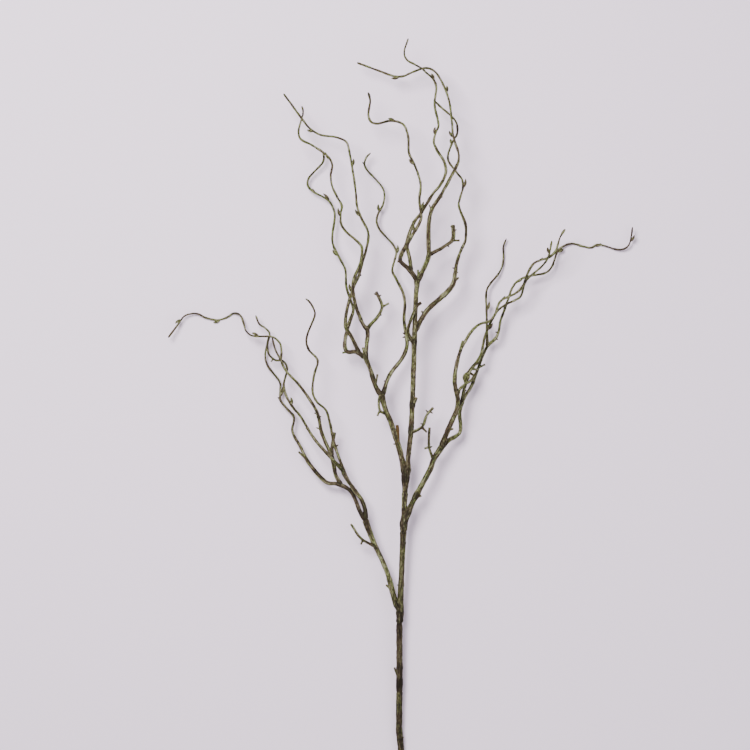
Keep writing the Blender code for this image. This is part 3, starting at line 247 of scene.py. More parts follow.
# What grows from each strand: its kind, foot, tip and how far the tip is lifted.
SIDE_GROWTHS = {
    "butt": [("thorn", (0, -371.5), (-5.5, -367.5), 0), ("thorn", (0.5, -408), (6, -405.5), 1)],
    "lower": [("stub", (-0.5, -322.5), (-7.5, -307), 1)],
    "middle": [("thorn", (4, -136.5), (9, -131), 1), ("thorn", (1, -194), (-4, -190.5), 1)],
    "left_limb": [("stub", (-13, -198.5), (-19, -190.5), 2)],
    "left_twig": [("stub", (-52, -127.5), (-54.5, -133.5), -2)],
    "left_low": [
        ("stub", (-133, -13), (-142, -4), -2), ("bud", (-168.5, 73), (-165, 87), 1),
        ("thorn", (-168, 67.5), (-171.5, 72.5), 1),
    ],
    "left_high": [("thorn", (-90.5, 3.5), (-86, 6), 1)],
    "left_inner": [
        ("thorn", (-127.5, 26.5), (-132, 29.5), 1), ("bud", (-152, 62), (-153, 72.5), 1),
        ("thorn", (-178, 125), (-181, 122), 0),
    ],
    "left_outer": [
        ("thorn", (-115.5, 48.5), (-120, 50.5), 1), ("thorn", (-114, 43.5), (-110, 46), 1),
        ("thorn", (-111.5, 27.5), (-117.5, 30), 1), ("bud", (-198.5, 157.5), (-208, 162.5), 1),
        ("bud", (-252.5, 181.5), (-262.5, 177.5), 1), ("bud", (-307, 181), (-315.5, 175.5), 1),
    ],
    "right_limb": [("stub", (23, -68), (30, -65.5), 2)],
    "right_twig": [("stub", (41, 2.5), (34.5, 0.5), 1), ("thorn", (42, 1.5), (45.5, 4), 1)],
    "right_high": [
        ("stub", (67, 26), (74.5, 28.5), 2), ("stub", (84.5, 136), (88, 151.5), 2),
        ("thorn", (144, 209.5), (147, 214), 1), ("thorn", (196, 263.5), (199.5, 267.5), 1),
    ],
    "right_low": [
        ("stub", (111, 114), (119.5, 118.5), 1), ("thorn", (133.5, 155), (138, 153), 1),
        ("thorn", (137.5, 162.5), (134, 164), 1), ("bud", (164.5, 234.5), (173, 241.5), 1),
        ("bud", (221.5, 277), (230.5, 281), 1), ("bud", (274, 285.5), (283.5, 289), 1),
        ("bud", (325, 291.5), (329.5, 300.5), 1),
    ],
    "right_knot": [
        ("thorn", (89, 80.5), (93.5, 82.5), 1), ("bud", (123, 167), (130, 176.5), 2),
        ("bud", (209.5, 274), (207, 282.5), 1),
    ],
    "right_inner": [("bud", (122, 195), (125.5, 207), 1)],
    "crown_limb": [("stub", (-3, 10.5), (-4, 33.5), 3), ("thorn", (-3, 6), (-9.5, 7), 1)],
    "crown_twig": [("stub", (-27.5, 53.5), (-31.5, 46.5), 1)],
    "crown_mid": [
        ("stub", (-35, 90.5), (-31.5, 104.5), 3), ("stub", (-47.5, 129.5), (-51.5, 142), 3),
        ("bud", (-83.5, 325.5), (-86, 337), 1), ("bud", (-97.5, 404.5), (-104, 415), 1),
    ],
    "crown_hook": [
        ("thorn", (-31, 215), (-36.5, 217.5), 1), ("thorn", (-30, 213), (-26, 215.5), 1),
        ("stub", (-25.5, 199), (-15.5, 204), 1), ("thorn", (-29, 187.5), (-25, 187.5), 1),
    ],
    "crown_box": [
        ("stub", (-74, 136.5), (-80.5, 134.5), 0), ("bud", (-86.5, 270.5), (-94.5, 279.5), 1),
        ("bud", (-99, 348.5), (-108, 358.5), 1), ("thorn", (-120, 360.5), (-122.5, 365.5), 1),
    ],
    "crown_cross": [
        ("bud", (-67, 219), (-70.5, 231.5), 1), ("bud", (-74, 168.5), (-70.5, 185), 3),
        ("bud", (-55.5, 325.5), (-62.5, 335), 1), ("bud", (-67.5, 395), (-65, 405.5), 1),
        ("bud", (-121, 444.5), (-130, 446.5), 1), ("thorn", (-57.5, 241.5), (-53.5, 243.5), 1),
    ],
    "crown_right": [
        ("thorn", (-18, 94), (-22.5, 95.5), 1), ("thorn", (10, 150.5), (14.5, 153), 1),
        ("thorn", (8, 157), (3.5, 156), 2), ("thorn", (8, 159), (4, 163), 2),
        ("bud", (-5.5, 274), (-3, 286), 1), ("bud", (-28.5, 333), (-30, 343.5), 1),
        ("thorn", (-49.5, 399), (-52.5, 402.5), 1),
    ],
    "leader": [("stub", (18, 61), (22.5, 72), 4), ("stub", (24, 234.5), (25, 250), 5)],
    "leader_twig": [
        ("thorn", (40, 51), (36, 55), 1), ("thorn", (41.5, 52.5), (46, 50), 1),
        ("thorn", (32, 34.5), (28.5, 36), 1), ("stub", (31, 31), (37.5, 23.5), 2),
    ],
    "leader_right": [
        ("stub", (35, 189.5), (30, 192.5), 2), ("thorn", (78, 253), (73, 253.5), 1),
        ("thorn", (77.5, 245), (81.5, 247.5), 1), ("stub", (75.5, 234), (82, 240), 1),
        ("bud", (88, 365), (91.5, 377.5), 1), ("bud", (73, 426), (71, 433.5), 1),
    ],
    "fork_left": [
        ("stub", (1, 262), (-3.5, 262), 0), ("bud", (32, 334), (33.5, 346), 1),
        ("bud", (49.5, 439.5), (49.5, 450.5), 1), ("bud", (47, 516), (43.5, 524), 1),
    ],
    "fork_mid": [
        ("stub", (20.5, 304), (18, 318), 3), ("bud", (20, 396.5), (12.5, 404.5), 1),
        ("bud", (-7.5, 458), (-17, 461), 1),
    ],
    "fork_right": [
        ("thorn", (43.5, 333.5), (40.5, 341), 1), ("thorn", (54.5, 349.5), (59.5, 351.5), 1),
        ("bud", (74, 434.5), (68.5, 444), 1), ("bud", (65, 498), (65, 507.5), 1),
        ("bud", (-0.5, 521), (-12.5, 519), 1),
    ],
    "fork_twig": [
        ("thorn", (74, 304), (79, 306), 1), ("thorn", (74, 308), (70, 311), 1),
        ("stub", (72.5, 291.5), (83, 291), 1), ("thorn", (66, 285.5), (68.5, 281.5), 1),
    ],
}

# Where a limb's bark passes from its fork's piece to its spray's piece, in millimetres from its foot.
FORK_COLLARS = {"left_limb": 34, "right_limb": 30, "crown_limb": 26, "leader": 27}

# The pieces made: name, the frame's node that it stands for, the slot of its finish, its strands.
PIECES = (
    ("butt_bark", "butt_length", "bark_dark", ("butt",)),
    ("lower_bark", "lower_length", "bark_dark", ("lower",)),
    ("middle_bark", "middle_length", "bark_dark", ("middle", "left_limb")),
    ("upper_bark", "upper_length", "bark_olive", ("upper", "right_limb", "crown_limb", "leader")),
    ("left_limb_bark", "left_spray", "bark_olive", ("left_limb", "left_twig", "left_stub")),
    ("left_tendrils", None, "bark_olive", (
        "left_low", "left_high", "left_inner", "left_outer", "left_spur",
    )),
    ("right_limb_bark", "right_spray", "bark_olive", ("right_limb", "right_twig", "right_high")),
    ("right_tendrils", None, "bark_olive", (
        "right_low", "right_knot", "right_bridge", "right_rung", "right_tie", "right_spur", "right_inner",
    )),
    ("crown_limb_bark", "crown_spray", "bark_olive", ("crown_limb", "crown_twig", "crown_mid")),
    ("crown_tendrils", None, "bark_olive", ("crown_hook", "crown_box", "crown_cross", "crown_right")),
    ("leader_bark", "leader_spray", "bark_olive", (
        "leader", "leader_twig", "leader_hook", "leader_right", "fork_twig",
    )),
    ("leader_tendrils", None, "bark_olive", ("fork_left", "fork_mid", "fork_right")),
)

# Strands that end in a plain cut, and those of them whose cut is hidden in the next length or fork.
CUT_ENDED = {
    "left_twig", "left_stub", "right_twig", "crown_twig", "crown_hook", "leader", "leader_twig",
    "leader_hook", "fork_twig", "right_rung", "right_tie", "right_spur", "butt", "lower", "middle", "upper",
}
JOINED_ABOVE = {"butt", "lower", "middle", "upper", "leader"}
# Strands that end inside the foot or the side of another.
FORKED_ENDS = {"left_limb", "right_limb", "crown_limb", "right_bridge"}

# Finishes: olive, bright green, brown, dark brown, also laid in the creases as painted shade, and grey
# bloom, also a painted highlight on the ridges.
OLIVE_BARK = (
    (0.098, 0.093, 0.035), (0.086, 0.116, 0.022), (0.05, 0.033, 0.017), (0.011, 0.008, 0.0055),
    (0.28, 0.27, 0.175),
)
DARK_BARK = (
    (0.06, 0.056, 0.02), (0.05, 0.07, 0.012), (0.035, 0.023, 0.012), (0.008, 0.006, 0.004),
    (0.165, 0.155, 0.092),
)
ORANGE_BARK = (
    (0.105, 0.06, 0.012), (0.105, 0.06, 0.012), (0.07, 0.036, 0.01), (0.05, 0.03, 0.012),
    (0.22, 0.15, 0.06),
)
# How strongly a surface reflects and how deep its finest roughness is, in metres.
BARK_SHEEN, BARK_BUMP = 0.12, 0.00022
FACE_SHEEN, FACE_BUMP = 0.3, 0.0001
# A cut end's rim, face and pith.
CUT_COLOURS = ((0.045, 0.032, 0.022), (0.27, 0.2, 0.12), (0.1, 0.07, 0.045))

# What the camera sees, in metres: a square's side, its middle, and how far it is above the floor.
FRAME_SIDE = 1.05
FRAME_CENTRE = (-0.0348, 0.1036)
FRAME_LEVEL = 0.03
LENS, SENSOR = 200.0, 36.0

# Half the floor's side, in metres, and the colours round the spray.
FLOOR_HALF = 6.0
FLOOR_COLOUR = (0.865, 0.735, 0.885)
ROOM_COLOUR = (0.98, 0.96, 1.0)
ROOM_STRENGTH = 0.45
# Lights: name, place, the place they face, size, power and colour.
LIGHTS = (
    ("key", (-0.9, 1.2, 2.4), (0, 0, 0), 1.2, 150.0, (1.0, 0.985, 0.97)),
    ("fill", (1.6, -0.8, 2.0), (0, 0, 0), 2.2, 30.0, (0.97, 0.97, 1.0)),
)

# Swollen places: strand, Y along the spray, extra radius, half length and how dark the bark is.
SWELLINGS = (
    ("butt", -343.2, 0.55, 1.6, 0.1), ("butt", -398, 0.3, 6, 0.4), ("butt", -372, 0.35, 4, 0.4),
    ("lower", -330, 0.45, 9, 0.85), ("lower", -309, 0.35, 5, 0.4), ("lower", -256, 0.15, 8, 0.55),
    ("lower", -246, -0.35, 2.2, 0.7), ("middle", -240.5, 0.6, 2.6, 0.6),
    ("middle", -225, 0.8, 12, 0.35), ("middle", -192, 0.3, 3, 0.5), ("middle", -117, 0.5, 9, 0.3),
    ("upper", -105, 1.5, 9, 0.65), ("upper", -64, 0.45, 1.6, 0.6), ("upper", -49, 0.3, 4, 0.45),
    ("upper", -38, 1.3, 8, 0.85), ("left_limb", -190, 0.3, 7, 0.3), ("left_limb", -112, 0.6, 14, 0.3),
    ("left_high", -32, 0.5, 6, 0.5), ("right_limb", -64, 0.8, 4.5, 0.8),
    ("right_limb", -42, 0.2, 8, 0.45), ("right_limb", 0, 0.5, 9, 0.5), ("leader", 28, 0.5, 10, 0.7),
    ("leader", 62, 0.9, 5, 0.85), ("leader", 151, 0.5, 4, 0.8), ("leader", 187, 0.25, 7, 0.4),
    ("leader", 236, 0.5, 7, 0.5), ("crown_limb", 20, 0.3, 9, 0.5), ("crown_limb", 76, 0.5, 8, 0.5),
    ("crown_mid", 101, 0.4, 6, 0.7), ("crown_mid", 133, 0.5, 6, 0.6), ("crown_mid", 168, 0.5, 6, 0.5),
    ("right_knot", 100.5, 3.0, 5, 0.3), ("left_high", -88, 0.3, 9, 0.75),
    ("left_low", -90, 0.2, 9, 0.8), ("left_low", -58, 0.2, 12, 0.6),
)

# Brown to olive at a strand's foot, middle and end, and how bright a green it is.
TONES = {
    "butt": (0.5, 0.3, 0.5, 0.5), "lower": (0.0, 0.42, 0.0, 0.35), "middle": (0.4, 0.65, 0.62, 0.25),
    "upper": (0.35, 0.55, 0.25, 0.25), "left_limb": (0.5, 0.72, 0.25, 0.6),
    "left_twig": (0.35, 0.6, 0.75, 0.5), "left_spur": (0.4, 0.4, 0.4, 0.2),
    "left_stub": (0.3, 0.3, 0.4, 0.2), "right_limb": (0.35, 0.6, 0.55, 0.6),
    "right_twig": (0.35, 0.6, 0.7, 0.6), "crown_limb": (0.3, 0.45, 0.5, 0.35),
    "crown_twig": (0.6, 0.7, 0.7, 0.5), "leader": (0.35, 0.62, 0.62, 0.15),
    "leader_twig": (0.35, 0.55, 0.7, 0.4), "crown_box": (0.4, 0.85, 0.6, 0.9),
    "right_knot": (0.55, 0.72, 0.66, 0.5), "left_outer": (0.4, 0.62, 0.38, 0.42),
    "right_low": (0.6, 0.95, 0.08, 0.7), "left_low": (0.15, 0.52, 0.4, 0.42),
    "right_high": (0.3, 0.75, 0.72, 0.6), "crown_mid": (0.3, 0.6, 0.5, 0.55),
    "crown_right": (0.45, 0.65, 0.55, 0.6), "leader_right": (0.4, 0.6, 0.55, 0.5),
    "left_high": (0.4, 0.52, 0.45, 0.45), "fork_right": (0.4, 0.6, 0.5, 0.55),
    "fork_left": (0.4, 0.6, 0.6, 0.5), "fork_twig": (0.45, 0.5, 0.5, 0.45),
}
COMMON_TONE = (0.5, 0.6, 0.5, 0.55)
# Stubs whose cut bark stayed bright, by strand and Y of the foot: how green and how orange.
BRIGHT_STUBS = {
    ("leader", 234.5): (1.0, 0.0), ("crown_limb", 10.5): (0.1, 1.0), ("crown_mid", 129.5): (0.8, 0.0),
}

# Each kind of strand by its widest radius: points in a ring, ring spacing, grain and lump depth.
STRAND_KINDS = ((3.0, 44, 0.9, 0.24, 0.42), (2.0, 30, 0.9, 0.16, 0.3), (0.0, 20, 1.0, 0.09, 0.17))
# Knuckles along a strand: spacing, how much each stands out, half length and darkness.
KNUCKLE_SPACING = (9.0, 24.0)
KNUCKLE_RISE = (0.02, 0.13)
KNUCKLE_HALF = (1.4, 4.0)
KNUCKLE_DARKNESS = (0.2, 0.65)
# What the thinnest tendrils gain in radius, none where the radius is over 2.
THIN_GAIN = 0.1
# How far the bark draws in at a ring seam and at a plain cut, and over what length.
JOINT_NOTCH = 0.5
CUT_ROUNDING = 0.25
NOTCH_LENGTH = 0.7
# The lowest that any bark goes, just clear of the floor.
REST_HEIGHT = 0.05

# How a strand narrows by its distance from its end: one that ends in a fork, and one with a tip.
FORK_END_SHAPE = ((0.0, 0.84), (0.6, 0.95), (1.5, 1.0))
TIP_SHAPE = ((0.0, 0.38), (0.6, 0.7), (2.5, 0.98), (5.0, 1.12), (9.0, 1.0))
# A cut face from its edge to its middle: the share of its radius, and the height.
FACE_SHAPE = ((1.0, -0.5), (1.0, 0.02), (0.86, 0.2), (0.6, 0.16), (0.25, 0.12), (0.2, 0.04))
FACE_SIDES = 24

# What grows from a strand. Its shape is its thickness from foot to tip, and its widest radius is also
# held to a share of the strand's. It bows out by a share of its length. Its darkness is given all
# along it, then how much is added at the foot, and over what share of its length that fades.
GROWTHS = {
    "bud": {
        "shape": ((0, 0.5), (0.12, 0.95), (0.3, 1.2), (0.5, 1.2), (0.7, 0.96), (0.88, 0.55), (1, 0.1)),
        "widest": 1.6, "of_strand": 1.1, "bow": 0.1, "uneven": 0.05, "tone": 0.5,
        "dark": (0.25, 0.45, 0.12),
    },
    "thorn": {
        "shape": ((0, 1.7), (0.35, 1.25), (0.6, 1.0), (0.85, 0.85), (1, 0.3)),
        "widest": 1.1, "of_strand": 0.75, "bow": 0.0, "uneven": 0.2, "tone": 0.4,
        "dark": (0.25, 0.5, 0.25),
    },
    "stub": {
        "shape": ((0, 1.7), (0.3, 1.15), (0.55, 0.95), (0.85, 1.0), (0.95, 1.02), (1, 0.92)),
        "widest": 1.5, "of_strand": 0.85, "bow": 0.05, "uneven": 0.1, "tone": 0.45,
        "dark": (0.15, 0.7, 0.3),
    },
}
GROWTH_RINGS, GROWTH_SIDES = 17, 14
# The widest radius of the thicker stubs, by strand and Y of the foot.
STOUT_STUBS = {("leader", 61): 2.7, ("crown_limb", 10.5): 2.2, ("crown_mid", 129.5): 1.8}


def soft_noise(places, seed):
    """A smooth value from -1 to 1 at each place, that changes over a length of about 1."""
    cell = np.floor(places).astype(np.int64)
    part = places - cell
    part = part * part * (3 - 2 * part)
    total = np.zeros(places.shape[:-1])
    for corner in np.ndindex(2, 2, 2):
        key = (cell + corner) @ np.array([7919, 104729, 15485863]) + seed * 49979687
        value = np.sin((key % 99991) * 12.9898) * 43758.5453
        weight = np.where(np.array(corner) == 1, part, 1 - part).prod(axis=-1)
        total += weight * (2 * (value - np.floor(value)) - 1)
    return total


def smooth_route(route):
    """Close points on a centripetal Catmull-Rom curve through the route."""
    ends = np.vstack([2 * route[0] - route[1], route, 2 * route[-1] - route[-2]])
    points = []
    for a, b, c, d in zip(ends, ends[1:], ends[2:], ends[3:]):
        knots = [0.0]
        for low, high in ((a, b), (b, c), (c, d)):
            knots.append(knots[-1] + max(np.linalg.norm(high - low), 1e-6) ** 0.5)
        k0, k1, k2, k3 = knots
        t = np.linspace(k1, k2, 15)[:-1, None]
        ab = a + (b - a) * (t - k0) / (k1 - k0)
        bc = b + (c - b) * (t - k1) / (k2 - k1)
        cd = c + (d - c) * (t - k2) / (k3 - k2)
        abc = ab + (bc - ab) * (t - k0) / (k2 - k0)
        bcd = bc + (cd - bc) * (t - k1) / (k3 - k1)
        points.append(abc + (bcd - abc) * (t - k1) / (k2 - k1))
    return np.vstack([*points, route[-1]])


def unit(vectors):
    return vectors / np.linalg.norm(vectors, axis=-1, keepdims=True)


def bell(distance, half):
    """1 where the distance is 0, falling off over the half length."""
    return np.exp(-((distance / half) ** 2))


def stacked(*columns):
    """Columns of one shape or a single value, side by side on a last axis."""
    return np.stack(np.broadcast_arrays(*columns), -1)


def full_turn(sides):
    return np.linspace(0, 2 * math.pi, sides, endpoint=False)[None]


def straightened(radius, turn, marks):
    """Where bark lies on a strand laid straight: across it by radius and turn, along it by marks."""
    return stacked(radius * np.cos(turn), radius * np.sin(turn), marks)


def ring_places(centres, reach, turn, side, up):
    """The points of rings round their centres, each as far out as its reach."""
    outward = np.cos(turn)[..., None] * side[:, None] + np.sin(turn)[..., None] * up[:, None]
    return centres[:, None] + reach[..., None] * outward


class Strand:
    """A strand's centreline as even rings, each with its frame, radius, tone and darkness."""

    def __init__(self, name, strands):
        parent_name, widths, route = STRANDS[name]
        route = np.array(route, float)
        self.name = name
        self.parent = strands.get(parent_name)
        if self.parent:
            route[0] = self.parent.points[self.parent.nearest(route[0])]
        close = smooth_route(route)
        along = np.concatenate([[0], np.cumsum(np.linalg.norm(np.diff(close, axis=0), axis=1))])
        kind = next(kind for kind in STRAND_KINDS if max(widths) / 2 >= kind[0])
        self.sides, spacing, self.grain, self.lump = kind[1:]
        self.length = along[-1]
        self.marks = np.linspace(0, self.length, max(int(self.length / spacing), 8) + 1)
        self.points = np.stack([np.interp(self.marks, along, axis) for axis in close.T], 1)
        self.ahead = unit(np.gradient(self.points, axis=0))
        self.side = self.carry_side()
        self.up = np.cross(self.ahead, self.side)
        share = self.marks / self.length
        self.radius = 0.5 * np.interp(share, np.linspace(0, 1, len(widths)), widths)
        self.radius += THIN_GAIN * np.clip(2.5 - 1.25 * self.radius, 0, 1)
        *tones, self.green = TONES.get(name, COMMON_TONE)
        self.tone = np.interp(share, (0, 0.5, 1), tones)
        self.dark = np.zeros(len(share))
        for strand, y, gain, half, darkness in SWELLINGS:
            if strand == name:
                self.swell(np.argmin(abs(self.points[:, 1] - y)), gain, half, darkness)
        self.add_knuckles(random.Random(f"knuckles {name}"))
        if self.parent:
            self.leave_parent()
        if name not in CUT_ENDED:
            distances, shares = zip(*(FORK_END_SHAPE if name in FORKED_ENDS else TIP_SHAPE))
            self.radius *= np.interp(self.length - self.marks, distances, shares)

    def carry_side(self):
        """One direction across the strand, carried along it without twist."""
        sides = [unit(np.cross(self.ahead[0], (0.3, 0.1, 1.0)))]
        for ahead in self.ahead[1:]:
            sides.append(unit(sides[-1] - ahead * (sides[-1] @ ahead)))
        return np.array(sides)

    def nearest(self, place):
        """The ring that lies nearest to place, seen from above."""
        return np.argmin(np.linalg.norm(self.points[:, :2] - np.array(place)[:2], axis=1))

    def ring_at(self, distance):
        return int(np.argmin(abs(self.marks - distance)))

    def stretch(self, node):
        """The first and last ring that a piece covers: a limb changes piece at its collar."""
        last = len(self.marks) - 1
        if self.name not in FORK_COLLARS:
            return 0, last
        collar = self.ring_at(FORK_COLLARS[self.name])
        return (collar, last) if node.endswith("_spray") else (0, collar)

    def add_knuckles(self, draw):
        """Small uneven thickenings, fainter on a thin strand."""
        place = draw.uniform(*KNUCKLE_SPACING)
        while place < self.length:
            half, rise = draw.uniform(*KNUCKLE_HALF), draw.uniform(*KNUCKLE_RISE)
            ring = self.ring_at(place)
            rise *= min(self.radius[ring], 1.6)
            self.swell(ring, rise, half, draw.uniform(*KNUCKLE_DARKNESS))
            place += draw.uniform(*KNUCKLE_SPACING)

    def swell(self, ring, gain, half, darkness):
        distance = self.marks - self.marks[ring]
        self.radius = self.radius + gain * bell(distance, half)
        self.dark = np.maximum(self.dark, darkness * bell(distance, 1.25 * half))

    def leave_parent(self):
        """Flares the foot where it comes out of the parent, and swells the parent round it."""
        parent, own = self.parent, self.radius[0]
        ring = parent.nearest(self.points[0])
        spacing = max(len(parent.points) // 200, 1)
        gaps = self.points[:, None] - parent.points[None, ::spacing]
        clear = np.linalg.norm(gaps, axis=2).min(axis=1) > 0.95 * parent.radius[ring]
        outside = self.marks[np.argmax(clear)]
        beyond = np.maximum(self.marks - outside, 0)
        buried = 0.8 + 0.2 * np.minimum(self.marks / max(outside, 0.1), 1)
        self.radius = self.radius * buried * (1 + 0.3 * np.exp(-beyond / (1.8 * own)))
        collar = min(0.6, self.length / 40) * bell(beyond, 3.0 * own)
        self.dark = np.maximum(self.dark, collar)
        parent.swell(ring, 0.12 * own, 3.0 * own, 0.45)


class Skin:
    """The faces of one piece as they are added, with a grain place, a shade and a relief per point."""

    def __init__(self):
        self.places, self.grains, self.shades, self.reliefs = [], [], [], []
        self.faces, self.finishes = [], []
        self.count = 0

    def rings(self, places, grains, shades, reliefs, finish):
        """A tube through rings of points, an array of ring, point and axis, closed at both ends."""
        rings, sides = places.shape[:2]
        number = np.arange(rings * sides).reshape(rings, sides)
        ahead = np.roll(number, -1, axis=1)
        quads = np.stack([number[:-1], ahead[:-1], ahead[1:], number[1:]], -1).reshape(-1, 4)
        first, last = rings * sides, rings * sides + 1
        low = stacked(ahead[0], number[0], first, first)
        high = stacked(number[-1], ahead[-1], last, last)
        stores = (self.places, self.grains, self.shades, self.reliefs)
        for store, values in zip(stores, (places, grains, shades, reliefs[..., None])):
            middles = values[[0, -1]].mean(axis=1)
            store.append(np.vstack([values.reshape(rings * sides, -1), middles]))
        self.faces.append(np.vstack([quads, low, high]) + self.count)
        self.finishes.append(np.full(len(self.faces[-1]), finish))
        self.count += rings * sides + 2

    def make(self, name, finishes, slot, nodes=()):
        """The piece as a mesh object that rides with the frame."""
        places = np.vstack(self.places)
        places[:, 2] = np.maximum(places[:, 2], REST_HEIGHT)
        corners = np.vstack(self.faces)
        faces = [tuple(dict.fromkeys(face)) for face in corners.tolist()]
        mesh = bpy.data.meshes.new(name)
        mesh.from_pydata((places * MM).tolist(), [], faces)
        for label, values in (("grain", self.grains), ("shade", self.shades)):
            layer = mesh.attributes.new(label, "FLOAT_VECTOR", "POINT")
            layer.data.foreach_set("vector", np.vstack(values).astype(np.float32).ravel())
        relief = mesh.attributes.new("relief", "FLOAT", "POINT")
        relief.data.foreach_set("value", np.vstack(self.reliefs).astype(np.float32).ravel())
        for finish in finishes:
            mesh.materials.append(finish)
        mesh.polygons.foreach_set("material_index", np.concatenate(self.finishes).astype(np.int32))
        mesh.polygons.foreach_set("use_smooth", np.ones(len(faces), bool))
        mesh.update()
        piece = bpy.data.objects.new(name, mesh)
        bpy.context.scene.collection.objects.link(piece)
        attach(piece, "root")
        if nodes:
            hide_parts(*nodes)


def notches(strand, first, last):
    """How far the bark draws in near each end: deep at the stem's ring seams, slight elsewhere."""
    marks = strand.marks[first : last + 1]
    closing = np.zeros(len(marks))
    if first == 0 and strand.parent is None:
        closing -= JOINT_NOTCH * np.exp(-(marks - marks[0]) / NOTCH_LENGTH)
    if last == len(strand.marks) - 1 and strand.name in CUT_ENDED:
        depth = JOINT_NOTCH if strand.parent is None else CUT_ROUNDING
        closing -= depth * np.exp(-(marks[-1] - marks) / NOTCH_LENGTH)
    return closing


def lay_bark(skin, strand, first, last, seed):
    """Bark round a strand from one ring to another, with its grain, lumps and rough collars."""
    rings = slice(first, last + 1)
    radius, dark = strand.radius[rings, None], strand.dark[rings, None]
    turn = full_turn(strand.sides)
    flat = straightened(radius, turn, strand.marks[rings, None]) + (0, 0, 37.0 * seed)
    grain = soft_noise(flat / (0.9, 0.9, 16), seed) + 0.5 * soft_noise(flat / (0.5, 0.5, 7), seed + 1)
    lumps = soft_noise(flat / (2.4, 2.4, 11), seed + 2) + 0.6 * soft_noise(flat / (2, 2, 4), seed + 4)
    rough = soft_noise(flat / (1.3, 1.3, 2.2), seed + 3)
    relief = strand.grain * grain + strand.lump * lumps + 0.3 * (strand.grain + dark) * rough
    relief = relief * np.minimum(radius / 0.6, 1) + notches(strand, first, last)[:, None]
    places = ring_places(strand.points[rings], radius + relief, turn, strand.side[rings], strand.up[rings])
    shades = stacked(strand.tone[rings, None] + 0.08 * lumps, dark, strand.green)
    # A thin tendril is more even in colour, with less rubbed paint and painted highlight on its ridges.
    thinness = np.maximum(1 - radius / 2.2, 0)
    raised = (0.7 * grain + 0.6 * lumps + 0.3 * rough) * (1 - 0.45 * thinness) - 0.3 * thinness
    skin.rings(places, flat, shades, raised, 0)


def cut_face(skin, centre, ahead, side, radius, seed):
    """A dished cut end with a rim."""
    shares, heights = np.array(FACE_SHAPE).T[..., None]
    turn = full_turn(FACE_SIDES)
    reach = shares * radius * (1 + 0.03 * np.sin(3 * turn + seed))
    up = np.cross(ahead, side)
    places = ring_places(centre + heights * ahead, reach, turn, side[None], up[None])
    skin.rings(places, straightened(reach, turn, seed), stacked(shares, 0 * reach, 0), 0 * reach, 0)


def growth_path(strand, ring, row):
    """Where a bud, thorn or stub runs, from inside the strand to its tip, and its radii."""
    kind, foot, tip, lift = row
    form = GROWTHS[kind]
    root = strand.points[ring]
    level = root if kind == "stub" else strand.points[strand.nearest(tip)]
    reach = np.array([*tip, level[2] + lift]) - root
    widest = STOUT_STUBS.get((strand.name, foot[1]), form["widest"])
    radius = min(widest, form["of_strand"] * strand.radius[ring])
    share = np.linspace(0, 1, GROWTH_RINGS)[:, None]
    across = unit(np.cross(strand.ahead[ring], (0, 0, 1.0)))
    outward = np.sign(across @ reach) or 1.0
    bow = outward * across * form["bow"] * np.linalg.norm(reach)
    centres = root + reach * share + bow * np.sin(math.pi * share)
    return centres, radius * np.interp(share, *np.array(form["shape"]).T)


def lay_growth(skin, faces, strand, row, seed):
    """A bud, a thorn or a cut stub on a strand."""
    kind, foot = row[:2]
    form = GROWTHS[kind]
    ring = strand.nearest(foot)
    centres, radii = growth_path(strand, ring, row)
    ahead = unit(np.gradient(centres, axis=0))
    side = unit(np.cross(ahead, strand.up[ring]))
    turn = full_turn(GROWTH_SIDES)
    share = np.linspace(0, 1, GROWTH_RINGS)[:, None]
    marks = share * np.linalg.norm(centres[-1] - centres[0])
    flat = straightened(radii, turn, marks) + (0, 0, 11.0 * seed)
    lumps = soft_noise(flat / (0.8, 0.8, 1.6), seed)
    reach = radii * (1 + form["uneven"] * lumps)
    if kind == "bud":
        # Slightly flat, with a ring where its scale ends.
        reach = reach * (1 + 0.1 * np.cos(2 * turn)) * (1 + 0.07 * bell(share - 0.22, 0.04))
    places = ring_places(centres, reach, turn, side, np.cross(ahead, side))
    green, orange = BRIGHT_STUBS.get((strand.name, foot[1]), (strand.green, 0.0))
    common, more, span = form["dark"]
    dark = common + more * np.exp(-share / (span + 0.4 * orange))
    tone = form["tone"] + 0.7 * min(strand.tone[ring] - 0.5, 0)
    if kind == "stub":
        tone += 0.3 * green
        cut_face(faces, centres[-1], ahead[-1], side[-1], 0.96 * radii[-1, 0], seed)
    skin.rings(places, flat, stacked(tone + 0.1 * lumps, dark, green), lumps, 1 if orange else 0)


def lay_strand(barks, faces, strand, node):
    """A strand's bark in one piece, with its cut ends and what grows from it."""
    first, last = strand.stretch(node)
    seed = random.Random(strand.name).randrange(1000)
    lay_bark(barks, strand, first, last, seed)
    at_end = last == len(strand.marks) - 1
    cuts = []
    if at_end and strand.name in CUT_ENDED - JOINED_ABOVE:
        cuts.append((last, 1))
    if strand.name == "butt":
        cuts.append((0, -1))
    for ring, way in cuts:
        radius = strand.radius[ring] - CUT_ROUNDING
        cut_face(faces, strand.points[ring], way * strand.ahead[ring], strand.side[ring], radius, seed)
    if at_end:
        for index, row in enumerate(SIDE_GROWTHS.get(strand.name, ())):
            lay_growth(barks, faces, strand, row, seed + index + 1)


